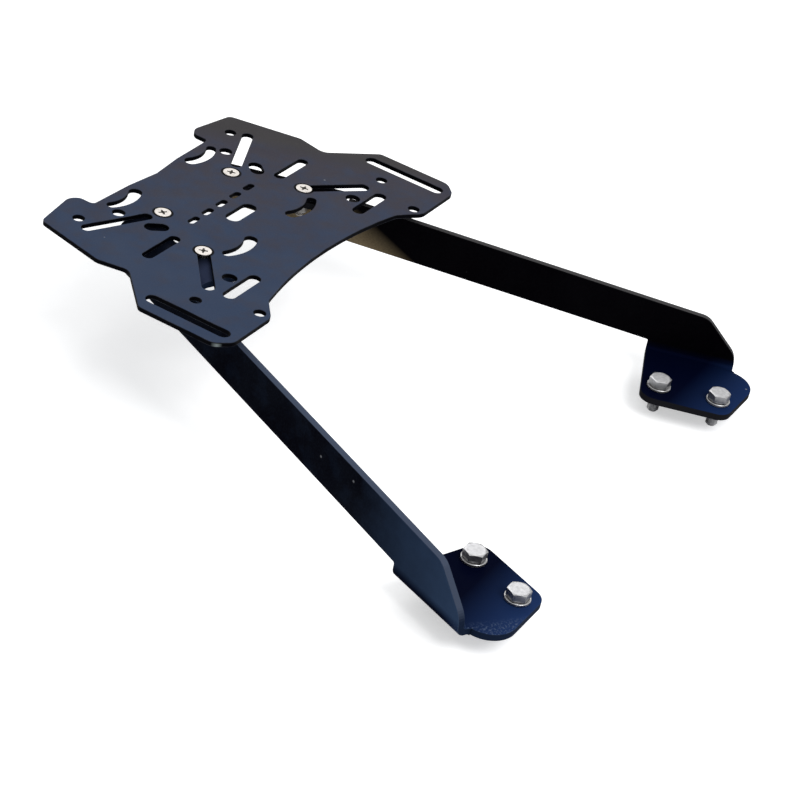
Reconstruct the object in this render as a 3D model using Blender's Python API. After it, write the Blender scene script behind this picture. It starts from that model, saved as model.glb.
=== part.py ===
"""Motorcycle luggage rack: a flat carrier plate on two folded steel arms.

The plate is laser cut from sheet, with slots and holes for strapping down luggage and
for a top case. Each arm is one strip of thicker sheet, folded twice: its upper edge turns
in to a flange that carries the plate, and its front end turns in to a foot that is bolted
to the motorcycle. Four countersunk screws with washers and lock nuts hold the plate down,
and two hexagon bolts with washers hold each foot.

Axes: +X to the motorcycle's right, +Y forward, +Z up. The origin is on the plate's upper
face, midway between the two front screws. Lengths are in metres.
"""

import math

import bmesh
import bpy
from mathutils import Matrix, Vector

MM = 0.001

# Fits and facets
GAP = 0.3 * MM  # kept between faces that touch on the real rack
CORNER_STEP = math.radians(20)  # widest turn of one facet round an outline's corner
HOLE_SIDES = 12
TURNED_SIDES = 16
SMOOTH_ANGLE = math.radians(32)
FLAT_ANGLE = math.radians(0.1)  # faces that turn less than this are one flat face
WELD = 0.001 * MM
SLIVER_PASSES = 4

# Carrier plate: thickness and edge
PLATE_THICKNESS = 3.2 * MM
PLATE_EDGE = 0.35 * MM  # width of the broken edge round the outline and the openings

# Carrier plate: outline of the right half, from the rear middle round to the front middle
REAR_MIDDLE_Y = -77.3 * MM
REAR_DIP_X = 27.0 * MM
REAR_DIP_Y = -80.0 * MM
REAR_EDGE_Y = -80.9 * MM
TAB_INNER_X = 64.8 * MM
TAB_INNER_Y = -90.9 * MM
TAB_REAR_X = 70.0 * MM
TAB_REAR_Y = -96.3 * MM
TAB_OUTER_X = 106.0 * MM
TAB_OUTER_Y = -90.3 * MM
TAB_INNER_CORNER = 5.0 * MM
TAB_REAR_CORNER = 9.0 * MM
HIP_X = 118.0 * MM
HIP_Y = -39.3 * MM
WAIST_X = 113.3 * MM
WAIST_Y = -18.3 * MM
WING_X = 143.6 * MM
WING_REAR_Y = 10.1 * MM
WING_FRONT_Y = 72.7 * MM
WING_CORNER_LENGTH = 9.0 * MM  # bevelled corner, along Y
WING_CORNER_WIDTH = 9.5 * MM  # bevelled corner, along X
WING_CORNER = 9.0 * MM
WING_INNER_X = 93.4 * MM
SHOULDER_X = 78.0 * MM
FRONT_MIDDLE_Y = 52.3 * MM
FRONT_ARC_RADIUS = 355.0 * MM
FRONT_ARC_FACETS = 8
MIDDLE_FACE_X = 24.0 * MM  # half width of the flat face between the screws' heads
SOFT_CORNER = 3.0 * MM
CORNER = 5.0 * MM
WAIST_CORNER = 8.0 * MM
SHOULDER_CORNER = 10.0 * MM

# Carrier plate: openings, as places on the right half
SLOT_WIDTH = 8.4 * MM
REAR_SLOT_WIDTH = 7.6 * MM
STRAP_SLOT_X = 130.0 * MM
STRAP_SLOT_Y = 36.6 * MM
STRAP_SLOT_LENGTH = 60.0 * MM
STRAP_SLOT_WIDTH = 9.0 * MM
CROSS_SLOT_LENGTH = 36.0 * MM
FRONT_CROSS_SLOT = (76.9 * MM, 40.6 * MM)
MIDDLE_CROSS_SLOT = (75.8 * MM, -20.6 * MM)
FRONT_SLANT_END = (92.5 * MM, 26.2 * MM)
REAR_SLANT_START = (51.7 * MM, -48.8 * MM)
REAR_SLANT_END = (91.7 * MM, -65.9 * MM)
OVAL_START = (55.4 * MM, -34.4 * MM)
OVAL_END = (60.1 * MM, -39.2 * MM)
OVAL_WIDTH = 9.2 * MM
FRONT_CORNER_HOLE = (94.2 * MM, 65.0 * MM)
WING_HOLE = (111.5 * MM, 29.6 * MM)
REAR_CORNER_HOLE = (86.3 * MM, -76.5 * MM)
SMALL_HOLE_DIAMETER = 7.7 * MM
ROUND_HOLE = (74.0 * MM, 29.5 * MM)
ROUND_HOLE_DIAMETER = 9.6 * MM
TAB_HOLE = (61.3 * MM, -63.6 * MM)
TAB_HOLE_DIAMETER = 8.5 * MM

# Carrier plate: curved slots, thick at the inner end and thin at the outer end
REAR_CRESCENT_START = (31.7 * MM, -71.8 * MM)
REAR_CRESCENT_END = (56.7 * MM, -72.4 * MM)
FRONT_CRESCENT_START = (24.2 * MM, 12.7 * MM)
FRONT_CRESCENT_END = (50.2 * MM, 11.8 * MM)
CRESCENT_START_RADIUS = 4.3 * MM
CRESCENT_END_RADIUS = 3.2 * MM
CRESCENT_RISE = 3.2 * MM
CRESCENT_FACETS = 6

# Carrier plate: plain windows in its middle
WINDOW_LENGTH = 28.0 * MM
WINDOW_WIDTH = 10.0 * MM
WINDOW_Y = -10.8 * MM
ROW_COUNT = 5
ROW_PITCH = 16.0 * MM
ROW_SLOT_LENGTH = 10.5 * MM
ROW_SLOT_WIDTH = 4.5 * MM
ROW_Y = -26.0 * MM

# Plate screws: countersunk, cross recess, M6
FRONT_SCREW = (59.5 * MM, 0.0)
REAR_SCREW = (39.5 * MM, -44.8 * MM)
SCREW_RADIUS = 3.0 * MM
SCREW_LENGTH = 20.0 * MM
SCREW_HEAD_RADIUS = 5.4 * MM
SCREW_HEAD_RIM = 0.3 * MM
SCREW_HEAD_RISE = 0.25 * MM  # of its face above the plate
SCREW_CONE_SLOPE = math.tan(math.radians(45))  # the cone's 90 degrees, half on each side
SCREW_TIP = 0.8 * MM
RECESS_SPAN = 6.2 * MM
RECESS_WIDTH = 1.5 * MM
RECESS_DEPTH = 2.7 * MM
RECESS_TAPER = 0.4  # floor of the recess against its mouth

# Washer and lock nut under the plate screws
WASHER_RADIUS = 6.0 * MM
WASHER_THICKNESS = 1.6 * MM
NUT_ACROSS_FLATS = 10.0 * MM
NUT_HEX_HEIGHT = 4.4 * MM
NUT_COLLAR_RADIUS = 4.6 * MM
NUT_COLLAR_HEIGHT = 1.5 * MM
NUT_CHAMFER = 0.6 * MM

# Arms: sheet and setting
ARM_THICKNESS = 4.75 * MM
ARM_EDGE = 0.4 * MM
ARM_SPLAY = math.radians(21.5)
ARM_X = 86.7 * MM  # where the wall's outer face crosses the line through the front screws
BEND_STEPS = 6
CLEARANCE_ON_RADIUS = 0.3 * MM  # of a bolt or screw in its hole

# Arms: wall, by distance along it from that crossing and by height
WALL_TOP_Z = -10.6 * MM
WALL_TOP_SLOPE = 0.089
WALL_BOTTOM_Z = -40.3 * MM
WALL_BOTTOM_SLOPE = 0.088
WALL_REAR = -67.3 * MM
WALL_FRONT = 296.7 * MM
NOSE_TOP = 272.0 * MM
NOSE_FRONT_Z = -59.0 * MM
NOSE_TOP_CORNER = 12.0 * MM
NOSE_FRONT_CORNER = 16.0 * MM
WALL_REAR_CORNER = 8.0 * MM

# Arms: flange under the plate
FLANGE_RADIUS = 12.0 * MM  # outside of the bend
FLANGE_FRONT = 17.3 * MM
EAR_EDGE = 11.5 * MM  # material inboard of each screw
EAR_CORNER = 5.0 * MM
FRONT_EAR_REAR = -23.0 * MM
REAR_EAR_FRONT = -43.5 * MM
NOTCH_FRONT = -28.0 * MM
NOTCH_REAR = -40.0 * MM
NOTCH_FLOOR = 18.5 * MM
NOTCH_CORNER = 4.0 * MM
RELIEF_WIDTH = 1.6 * MM
RELIEF_DEPTH = 0.8 * MM

# Arms: foot
FOOT_Z = -72.0 * MM  # underside
FOOT_RADIUS = 7.0 * MM
FOOT_REAR = 236.6 * MM
FOOT_SIDE = 9.0 * MM  # from the wall's outer face in to the foot's free side
FOOT_REACH = 68.0 * MM
FOOT_FRONT_Y = 299.6 * MM  # the front edge lies square across the motorcycle
FOOT_OUTER_CORNER = 18.0 * MM
FOOT_INNER_CORNER = 10.0 * MM
FOOT_ROOT_CORNER = 1.5 * MM
FOOT_BOLT_IN = 52.0 * MM
FOOT_BOLT_MIDDLE = 268.3 * MM
FOOT_BOLT_PITCH = 40.0 * MM

# Foot bolts and washers: hexagon, M8
BOLT_RADIUS = 4.0 * MM
BOLT_LENGTH = 20.0 * MM
BOLT_ACROSS_FLATS = 13.0 * MM
BOLT_HEAD_HEIGHT = 5.3 * MM
BOLT_CHAMFER = 0.8 * MM
BOLT_TIP = 1.0 * MM
BOLT_WASHER_RADIUS = 8.0 * MM
BOLT_WASHER_THICKNESS = 1.6 * MM

# Levels worked out from the sizes above
FLANGE_TOP_Z = -PLATE_THICKNESS - GAP
FOOT_BEND_Z = FOOT_Z + FOOT_RADIUS
FOOT_TOP_Z = FOOT_Z + ARM_THICKNESS


def clear_scene():
    for obj in list(bpy.data.objects):
        bpy.data.objects.remove(obj, do_unlink=True)


def material(name, colour, roughness, metallic):
    made = bpy.data.materials.new(name)
    made.use_nodes = True
    shader = made.node_tree.nodes["Principled BSDF"]
    shader.inputs["Base Color"].default_value = (*colour, 1.0)
    shader.inputs["Roughness"].default_value = roughness
    shader.inputs["Metallic"].default_value = metallic
    return made


def plate_coat():
    """Satin powder coat, a cool dark grey under the sky."""
    return material("plate_coat", (0.040, 0.044, 0.060), 0.45, 0.0)


def arm_coat():
    """The same powder coat on the arms, which look nearly black."""
    return material("arm_coat", (0.016, 0.020, 0.032), 0.40, 0.0)


def screw_steel():
    return material("screw_steel", (0.62, 0.59, 0.55), 0.30, 1.0)


def washer_steel():
    return material("washer_steel", (0.52, 0.52, 0.52), 0.38, 1.0)


def nut_steel():
    return material("nut_steel", (0.48, 0.48, 0.49), 0.35, 1.0)


def bolt_steel():
    return material("bolt_steel", (0.45, 0.45, 0.46), 0.36, 1.0)


def add_object(name, mesh, parent, coat, location=(0, 0, 0), turn=0.0):
    """Puts a mesh in the scene as a sub-part, smooth over its round faces."""
    mesh.shade_smooth()
    mesh.set_sharp_from_angle(angle=SMOOTH_ANGLE)
    mesh.materials.clear()
    mesh.materials.append(coat)
    obj = bpy.data.objects.new(name, mesh)
    obj.location = location
    obj.rotation_euler = (0, 0, turn)
    obj.parent = parent
    bpy.context.collection.objects.link(obj)
    return obj


def new_mesh(name, bm):
    """Turns a bmesh into a mesh with its faces pointing out."""
    bmesh.ops.recalc_face_normals(bm, faces=bm.faces)
    if bm.calc_volume(signed=True) < 0:
        bmesh.ops.reverse_faces(bm, faces=bm.faces)
    mesh = bpy.data.meshes.new(name)
    bm.to_mesh(mesh)
    bm.free()
    return mesh


def arc_points(centre, radius, start, turn, facets):
    """Points along an arc, both ends included."""
    points = []
    for i in range(facets + 1):
        angle = start + turn * i / facets
        x = centre[0] + radius * math.cos(angle)
        y = centre[1] + radius * math.sin(angle)
        points.append((x, y))
    return points


def circle(centre, diameter):
    return arc_points(centre, diameter / 2, 0.0, math.tau, HOLE_SIDES)[:-1]


def obround(start, end, width):
    """Slot outline round two end centres."""
    heading = math.atan2(end[1] - start[1], end[0] - start[0])
    facets = HOLE_SIDES // 2
    far = arc_points(end, width / 2, heading - math.pi / 2, math.pi, facets)
    near = arc_points(start, width / 2, heading + math.pi / 2, math.pi, facets)
    return far + near


def straight_slot(centre, length, width, along_x=True):
    half = (length - width) / 2
    dx, dy = (half, 0.0) if along_x else (0.0, half)
    start = (centre[0] - dx, centre[1] - dy)
    end = (centre[0] + dx, centre[1] + dy)
    return obround(start, end, width)


def crescent(start, end):
    """Slot that bows forward between two end centres and narrows from the first to the second."""
    chord = math.dist(start, end)
    radius = (chord**2 / 4 + CRESCENT_RISE**2) / (2 * CRESCENT_RISE)
    half_turn = math.asin(chord / 2 / radius)
    heading = math.atan2(end[1] - start[1], end[0] - start[0])
    middle = ((start[0] + end[0]) / 2, (start[1] + end[1]) / 2)
    back = radius - CRESCENT_RISE
    centre = (middle[0] + back * math.sin(heading), middle[1] - back * math.cos(heading))
    outer, inner = [], []
    for i in range(CRESCENT_FACETS + 1):
        share = i / CRESCENT_FACETS
        angle = heading + math.pi / 2 + half_turn * (1 - 2 * share)
        reach = CRESCENT_START_RADIUS + (CRESCENT_END_RADIUS - CRESCENT_START_RADIUS) * share
        for side, points in ((reach, outer), (-reach, inner)):
            x = centre[0] + (radius + side) * math.cos(angle)
            y = centre[1] + (radius + side) * math.sin(angle)
            points.append((x, y))
    facets = HOLE_SIDES // 2
    last = heading + math.pi / 2 - half_turn
    first = heading + math.pi / 2 + half_turn
    end_cap = arc_points(end, CRESCENT_END_RADIUS, last, -math.pi, facets)[1:-1]
    start_cap = arc_points(start, CRESCENT_START_RADIUS, first + math.pi, -math.pi, facets)[1:-1]
    return outer + end_cap + inner[::-1] + start_cap


def mirrored(outline):
    return [(-x, y) for x, y in reversed(outline)]


def rounded(corners):
    """Closed outline through (x, y, radius) corners, each replaced by its arc."""
    outline = []
    for i, (x, y, radius) in enumerate(corners):
        before = corners[i - 1]
        after = corners[(i + 1) % len(corners)]
        heading_in = math.atan2(y - before[1], x - before[0])
        heading_out = math.atan2(after[1] - y, after[0] - x)
        turn = math.remainder(heading_out - heading_in, math.tau)
        if not radius or abs(turn) < CORNER_STEP / 4:
            outline.append((x, y))
            continue
        setback = radius * math.tan(abs(turn) / 2)
        side = math.copysign(1.0, turn)
        start = heading_in - side * math.pi / 2
        centre = (
            x - setback * math.cos(heading_in) - radius * math.cos(start),
            y - setback * math.sin(heading_in) - radius * math.sin(start),
        )
        facets = max(2, math.ceil(abs(turn) / CORNER_STEP))
        outline.extend(arc_points(centre, radius, start, turn, facets))
    return outline


def sheet_mesh(name, outlines, thickness, edge):
    """Flat sheet about its mid-plane: the first outline is its edge and the rest are openings."""
    curve = bpy.data.curves.new(name, "CURVE")
    curve.dimensions = "2D"
    curve.fill_mode = "BOTH"
    curve.extrude = thickness / 2 - edge
    curve.bevel_depth = edge
    curve.bevel_resolution = 0
    curve.offset = -edge
    for outline in outlines:
        spline = curve.splines.new("POLY")
        spline.points.add(len(outline) - 1)
        for point, (x, y) in zip(spline.points, outline):
            point.co = (x, y, 0.0, 1.0)
        spline.use_cyclic_u = True
    drawn = bpy.data.objects.new(name, curve)
    filled = bpy.data.meshes.new_from_object(drawn)
    bm = bmesh.new()
    bm.from_mesh(filled)
    bmesh.ops.remove_doubles(bm, verts=bm.verts, dist=WELD)
    bpy.data.objects.remove(drawn)
    bpy.data.curves.remove(curve)
    bpy.data.meshes.remove(filled)
    return bm


def facet_width(face):
    longest = max(edge.calc_length() for edge in face.edges)
    return 2 * face.calc_area() / longest


def turn_slivers(bm):
    """Turns the long edge of each facet without width, where three corners lie in line."""
    bmesh.ops.triangulate(bm, faces=bm.faces)
    for _ in range(SLIVER_PASSES):
        for face in [face for face in bm.faces if facet_width(face) < WELD]:
            if facet_width(face) < WELD:
                longest = max(face.edges, key=lambda edge: edge.calc_length())
                bmesh.utils.edge_rotate(longest)


def join_flats(bm):
    """Joins the facets that lie in one plane."""
    bmesh.ops.dissolve_limit(bm, angle_limit=FLAT_ANGLE, verts=bm.verts, edges=bm.edges)


def score(bm, place, direction):
    """Cuts edges across a sheet where a plane meets it."""
    bmesh.ops.bisect_plane(
        bm,
        geom=bm.verts[:] + bm.edges[:] + bm.faces[:],
        dist=WELD,
        plane_co=place,
        plane_no=direction,
    )


def turned_mesh(name, profile, ring=False):
    """Turned solid about Z from (radius, z) points; a ring's profile closes on itself."""
    bm = bmesh.new()
    verts = [bm.verts.new((radius, 0.0, z)) for radius, z in profile]
    pairs = list(zip(verts, verts[1:]))
    if ring:
        pairs.append((verts[-1], verts[0]))
    edges = [bm.edges.new(pair) for pair in pairs]
    bmesh.ops.spin(
        bm,
        geom=verts + edges,
        cent=(0, 0, 0),
        axis=(0, 0, 1),
        angle=math.tau,
        steps=TURNED_SIDES,
        use_merge=True,
    )
    bmesh.ops.remove_doubles(bm, verts=bm.verts, dist=WELD)
    return new_mesh(name, bm)


def prism_mesh(name, outline, bottom, top, bottom_scale=1.0):
    """Upright prism, or a tapered one whose floor is scaled about the Z axis."""
    bm = bmesh.new()
    face = bm.faces.new([bm.verts.new((x, y, top)) for x, y in outline])
    extruded = bmesh.ops.extrude_face_region(bm, geom=[face])
    for item in extruded["geom"]:
        if isinstance(item, bmesh.types.BMVert):
            item.co = (item.co.x * bottom_scale, item.co.y * bottom_scale, bottom)
    return new_mesh(name, bm)


def hexagon(across_flats):
    corner_radius = across_flats / 2 / math.cos(math.pi / 6)
    return arc_points((0.0, 0.0), corner_radius, 0.0, math.tau, 6)[:-1]


def combined(name, body_mesh, tool_mesh, operation):
    """Mesh of one solid cut by another, or kept only inside it."""
    body = bpy.data.objects.new(name, body_mesh)
    tool = bpy.data.objects.new(name + "_tool", tool_mesh)
    for obj in (body, tool):
        bpy.context.collection.objects.link(obj)
    tool.hide_render = True
    tool.display_type = "WIRE"
    modifier = body.modifiers.new(operation.lower(), "BOOLEAN")
    modifier.operation = operation
    modifier.solver = "EXACT"
    modifier.object = tool
    graph = bpy.context.evaluated_depsgraph_get()
    result = bpy.data.meshes.new_from_object(body.evaluated_get(graph))
    result.name = name
    bpy.data.objects.remove(body)
    bpy.data.objects.remove(tool)
    return result


def front_arc(x):
    """Height of the hollow front edge at a place across the plate."""
    return FRONT_MIDDLE_Y + FRONT_ARC_RADIUS - math.sqrt(FRONT_ARC_RADIUS**2 - x**2)


def plate_outline():
    right = [
        (REAR_DIP_X, REAR_DIP_Y, CORNER),
        (TAB_INNER_X, REAR_EDGE_Y, SOFT_CORNER),
        (TAB_INNER_X, TAB_INNER_Y, TAB_INNER_CORNER),
        (TAB_REAR_X, TAB_REAR_Y, TAB_REAR_CORNER),
        (TAB_OUTER_X, TAB_OUTER_Y, CORNER),
        (HIP_X, HIP_Y, WAIST_CORNER),
        (WAIST_X, WAIST_Y, WAIST_CORNER),
        (WING_X, WING_REAR_Y, CORNER),
        (WING_X, WING_FRONT_Y - WING_CORNER_LENGTH, WING_CORNER),
        (WING_X - WING_CORNER_WIDTH, WING_FRONT_Y, WING_CORNER),
        (WING_INNER_X, WING_FRONT_Y, SHOULDER_CORNER),
        (SHOULDER_X, front_arc(SHOULDER_X), SHOULDER_CORNER),
    ]
    front = []
    for i in range(1, FRONT_ARC_FACETS):
        x = SHOULDER_X * (1 - 2 * i / FRONT_ARC_FACETS)
        front.append((x, front_arc(x), 0.0))
    left = [(-x, y, radius) for x, y, radius in reversed(right)]
    return rounded([(0.0, REAR_MIDDLE_Y, CORNER)] + right + front + left)


def side_openings():
    """Openings of the plate's right half, which the left half mirrors."""
    return [
        straight_slot(
            (STRAP_SLOT_X, STRAP_SLOT_Y), STRAP_SLOT_LENGTH, STRAP_SLOT_WIDTH, along_x=False
        ),
        straight_slot(FRONT_CROSS_SLOT, CROSS_SLOT_LENGTH, SLOT_WIDTH),
        straight_slot(MIDDLE_CROSS_SLOT, CROSS_SLOT_LENGTH, REAR_SLOT_WIDTH),
        obround(FRONT_SCREW, FRONT_SLANT_END, SLOT_WIDTH),
        obround(REAR_SLANT_START, REAR_SLANT_END, REAR_SLOT_WIDTH),
        obround(OVAL_START, OVAL_END, OVAL_WIDTH),
        circle(FRONT_CORNER_HOLE, SMALL_HOLE_DIAMETER),
        circle(WING_HOLE, SMALL_HOLE_DIAMETER),
        circle(REAR_CORNER_HOLE, SMALL_HOLE_DIAMETER),
        circle(ROUND_HOLE, ROUND_HOLE_DIAMETER),
        circle(TAB_HOLE, TAB_HOLE_DIAMETER),
        crescent(REAR_CRESCENT_START, REAR_CRESCENT_END),
        crescent(FRONT_CRESCENT_START, FRONT_CRESCENT_END),
    ]


def middle_windows():
    windows = [straight_slot((0.0, WINDOW_Y), WINDOW_LENGTH, WINDOW_WIDTH)]
    for i in range(ROW_COUNT):
        x = (i - (ROW_COUNT - 1) / 2) * ROW_PITCH
        windows.append(straight_slot((x, ROW_Y), ROW_SLOT_LENGTH, ROW_SLOT_WIDTH))
    return windows


def countersink_radius():
    """Radius of a countersink on the plate's upper face, with the gap kept square to its cone."""
    sideways = GAP * math.hypot(1.0, SCREW_CONE_SLOPE)
    return SCREW_HEAD_RADIUS + sideways + (SCREW_HEAD_RIM - SCREW_HEAD_RISE) * SCREW_CONE_SLOPE


def countersinks():
    """Cutter for the four screw holes: a cone for each head and a bore for each shank."""
    bore = SCREW_RADIUS + CLEARANCE_ON_RADIUS
    mouth = countersink_radius()
    cone_depth = (mouth - bore) / SCREW_CONE_SLOPE
    bottom = -max(PLATE_THICKNESS, cone_depth) - GAP
    cutter = turned_mesh(
        "countersink",
        [
            (0.0, GAP),
            (mouth + GAP * SCREW_CONE_SLOPE, GAP),
            (bore, -cone_depth),
            (bore, bottom),
            (0.0, bottom),
        ],
    )
    bm = bmesh.new()
    for x, y in (FRONT_SCREW, REAR_SCREW):
        for side in (1, -1):
            placed = cutter.copy()
            placed.transform(Matrix.Translation((side * x, y, PLATE_THICKNESS / 2)))
            bm.from_mesh(placed)
            bpy.data.meshes.remove(placed)
    return new_mesh("countersinks", bm)


def make_plate(parent, coat):
    openings = side_openings()
    outlines = [plate_outline()] + openings + [mirrored(o) for o in openings] + middle_windows()
    blank = sheet_mesh("plate_blank", outlines, PLATE_THICKNESS, PLATE_EDGE)
    turn_slivers(blank)
    sheet = new_mesh("plate_blank", blank)
    bm = bmesh.new()
    bm.from_mesh(combined("cut_plate", sheet, countersinks(), "DIFFERENCE"))
    join_flats(bm)
    for x in (-MIDDLE_FACE_X, MIDDLE_FACE_X):
        score(bm, (x, 0, 0), (1, 0, 0))
    mesh = new_mesh("rack_plate", bm)
    add_object("rack_plate", mesh, parent, coat, location=(0, 0, -PLATE_THICKNESS / 2))


def on_arm(place):
    """A place of the right half as (distance along the wall, distance in from its outer face)."""
    dx = place[0] - ARM_X
    along = dx * math.sin(ARM_SPLAY) + place[1] * math.cos(ARM_SPLAY)
    inboard = place[1] * math.sin(ARM_SPLAY) - dx * math.cos(ARM_SPLAY)
    return along, inboard


def from_arm(along, inboard):
    """The place on the right half that on_arm gives back."""
    x = ARM_X + along * math.sin(ARM_SPLAY) - inboard * math.cos(ARM_SPLAY)
    y = along * math.cos(ARM_SPLAY) + inboard * math.sin(ARM_SPLAY)
    return x, y


def flange_radius():
    """Outside radius of the flange's bend, which ends short of the washers."""
    nearest = min(on_arm(screw)[1] for screw in (FRONT_SCREW, REAR_SCREW))
    return min(FLANGE_RADIUS, nearest - WASHER_RADIUS - GAP)


def flange_bend_z():
    """Height on the wall where the flange's bend starts."""
    return FLANGE_TOP_Z - flange_radius()


def bend_arc(outer_radius):
    """Length of sheet that a square bend takes, along its middle."""
    return (outer_radius - ARM_THICKNESS / 2) * math.pi / 2


def on_flange(inboard):
    """Height on the flat blank of a place on the flange."""
    return flange_bend_z() + bend_arc(flange_radius()) + inboard - flange_radius()


def on_foot(inboard):
    """Height on the flat blank of a place on the foot."""
    return FOOT_BEND_Z - bend_arc(FOOT_RADIUS) - inboard + FOOT_RADIUS


def foot_front(inboard):
    """Distance along the wall of the foot's front edge."""
    return (FOOT_FRONT_Y - inboard * math.sin(ARM_SPLAY)) / math.cos(ARM_SPLAY)


def wall_top(along):
    return WALL_TOP_Z - WALL_TOP_SLOPE * along


def wall_bottom(along):
    return WALL_BOTTOM_Z - WALL_BOTTOM_SLOPE * along


def blank_outline():
    """Edge of an arm's flat blank, as distance along the wall and height."""
    rear_ear = on_flange(on_arm(REAR_SCREW)[1] + EAR_EDGE)
    front_ear = on_flange(on_arm(FRONT_SCREW)[1] + EAR_EDGE)
    notch = on_flange(NOTCH_FLOOR)
    relief_end = FLANGE_FRONT + RELIEF_WIDTH
    relief_floor = flange_bend_z() - RELIEF_DEPTH
    return rounded(
        [
            (WALL_REAR, wall_bottom(WALL_REAR), WALL_REAR_CORNER),
            (FOOT_REAR, wall_bottom(FOOT_REAR), FOOT_ROOT_CORNER),
            (FOOT_REAR, on_foot(FOOT_REACH), FOOT_INNER_CORNER),
            (foot_front(FOOT_REACH), on_foot(FOOT_REACH), FOOT_INNER_CORNER),
            (foot_front(FOOT_SIDE), on_foot(FOOT_SIDE), FOOT_OUTER_CORNER),
            (WALL_FRONT, on_foot(FOOT_SIDE), FOOT_ROOT_CORNER),
            (WALL_FRONT, NOSE_FRONT_Z, NOSE_FRONT_CORNER),
            (NOSE_TOP, wall_top(NOSE_TOP), NOSE_TOP_CORNER),
            (relief_end, wall_top(relief_end), RELIEF_WIDTH / 4),
            (relief_end, relief_floor, RELIEF_WIDTH / 3),
            (FLANGE_FRONT, relief_floor, RELIEF_WIDTH / 3),
            (FLANGE_FRONT, front_ear, EAR_CORNER),
            (FRONT_EAR_REAR, front_ear, EAR_CORNER),
            (NOTCH_FRONT, notch, NOTCH_CORNER),
            (NOTCH_REAR, notch, NOTCH_CORNER),
            (REAR_EAR_FRONT, rear_ear, EAR_CORNER),
            (WALL_REAR, rear_ear, EAR_CORNER),
        ]
    )


def foot_bolt_places():
    """Rear and front bolt of a foot, as distance along the wall and in from its outer face."""
    rear = FOOT_BOLT_MIDDLE - FOOT_BOLT_PITCH / 2
    front = FOOT_BOLT_MIDDLE + FOOT_BOLT_PITCH / 2
    return {"rear": (rear, FOOT_BOLT_IN), "front": (front, FOOT_BOLT_IN)}


def blank_holes():
    holes = []
    for screw in (FRONT_SCREW, REAR_SCREW):
        along, inboard = on_arm(screw)
        holes.append(circle((along, on_flange(inboard)), 2 * (SCREW_RADIUS + CLEARANCE_ON_RADIUS)))
    for along, inboard in foot_bolt_places().values():
        holes.append(circle((along, on_foot(inboard)), 2 * (BOLT_RADIUS + CLEARANCE_ON_RADIUS)))
    return holes


def bent(run, depth, outer_radius):
    """Place of a point of the sheet after a square bend, as (inboard, beyond).

    run is how far along the flat sheet the point lies past the line where the bend starts,
    and depth how far in it lies from the outer face.
    """
    arc = bend_arc(outer_radius)
    turn = min(run / arc, 1.0) * math.pi / 2
    reach = outer_radius - depth
    inboard = outer_radius - reach * math.cos(turn) + max(run - arc, 0.0)
    beyond = reach * math.sin(turn)
    return inboard, beyond


def score_bends(bm):
    """Cuts edges across the flat blank where the facets of the two bends will meet."""
    lines = []
    for step in range(BEND_STEPS + 1):
        share = step / BEND_STEPS
        lines.append(flange_bend_z() + share * bend_arc(flange_radius()))
        lines.append(FOOT_BEND_Z - share * bend_arc(FOOT_RADIUS))
    for height in lines:
        score(bm, (0, height, 0), (0, 1, 0))


def fold(bm, side):
    """Folds the flat blank: X turns outboard, Y along the wall and Z up."""
    flange_end = FLANGE_FRONT + RELIEF_WIDTH / 2
    bend_z = flange_bend_z()
    for vert in bm.verts:
        along, height, up = vert.co
        depth = ARM_THICKNESS / 2 - up
        inboard, z = depth, height
        if height > bend_z and along < flange_end:
            inboard, beyond = bent(height - bend_z, depth, flange_radius())
            z = bend_z + beyond
        elif height < FOOT_BEND_Z:
            inboard, beyond = bent(FOOT_BEND_Z - height, depth, FOOT_RADIUS)
            z = FOOT_BEND_Z - beyond
        vert.co = (-side * inboard, along, z)


def make_arm(name, side, parent, coat):
    """One arm: side is 1 on the right and -1 on the left."""
    bm = sheet_mesh(name, [blank_outline()] + blank_holes(), ARM_THICKNESS, ARM_EDGE)
    join_flats(bm)
    score_bends(bm)
    fold(bm, side)
    mesh = new_mesh(name, bm)
    add_object(name, mesh, parent, coat, location=(side * ARM_X, 0, 0), turn=-side * ARM_SPLAY)


def screw_mesh():
    """Countersunk screw with its head's upper face at zero."""
    cone_bottom = -SCREW_HEAD_RIM - (SCREW_HEAD_RADIUS - SCREW_RADIUS) / SCREW_CONE_SLOPE
    blank = turned_mesh(
        "screw_blank",
        [
            (0.0, 0.0),
            (SCREW_HEAD_RADIUS, 0.0),
            (SCREW_HEAD_RADIUS, -SCREW_HEAD_RIM),
            (SCREW_RADIUS, cone_bottom),
            (SCREW_RADIUS, -SCREW_LENGTH + SCREW_TIP),
            (SCREW_RADIUS - SCREW_TIP, -SCREW_LENGTH),
            (0.0, -SCREW_LENGTH),
        ],
    )
    half = RECESS_WIDTH / 2
    arm = RECESS_SPAN / 2
    quarter = [(arm, -half), (arm, half), (half, half)]
    cross = []
    for i in range(4):
        turn = Matrix.Rotation(i * math.pi / 2, 2)
        cross.extend(tuple(turn @ Vector(point)) for point in quarter)
    recess = prism_mesh("recess", cross, -RECESS_DEPTH, GAP, RECESS_TAPER)
    return combined("plate_screw", blank, recess, "DIFFERENCE")


def washer_mesh(name, bore, radius, thickness):
    """Flat washer with its upper face at zero."""
    return turned_mesh(
        name, [(bore, 0.0), (radius, 0.0), (radius, -thickness), (bore, -thickness)], ring=True
    )


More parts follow.
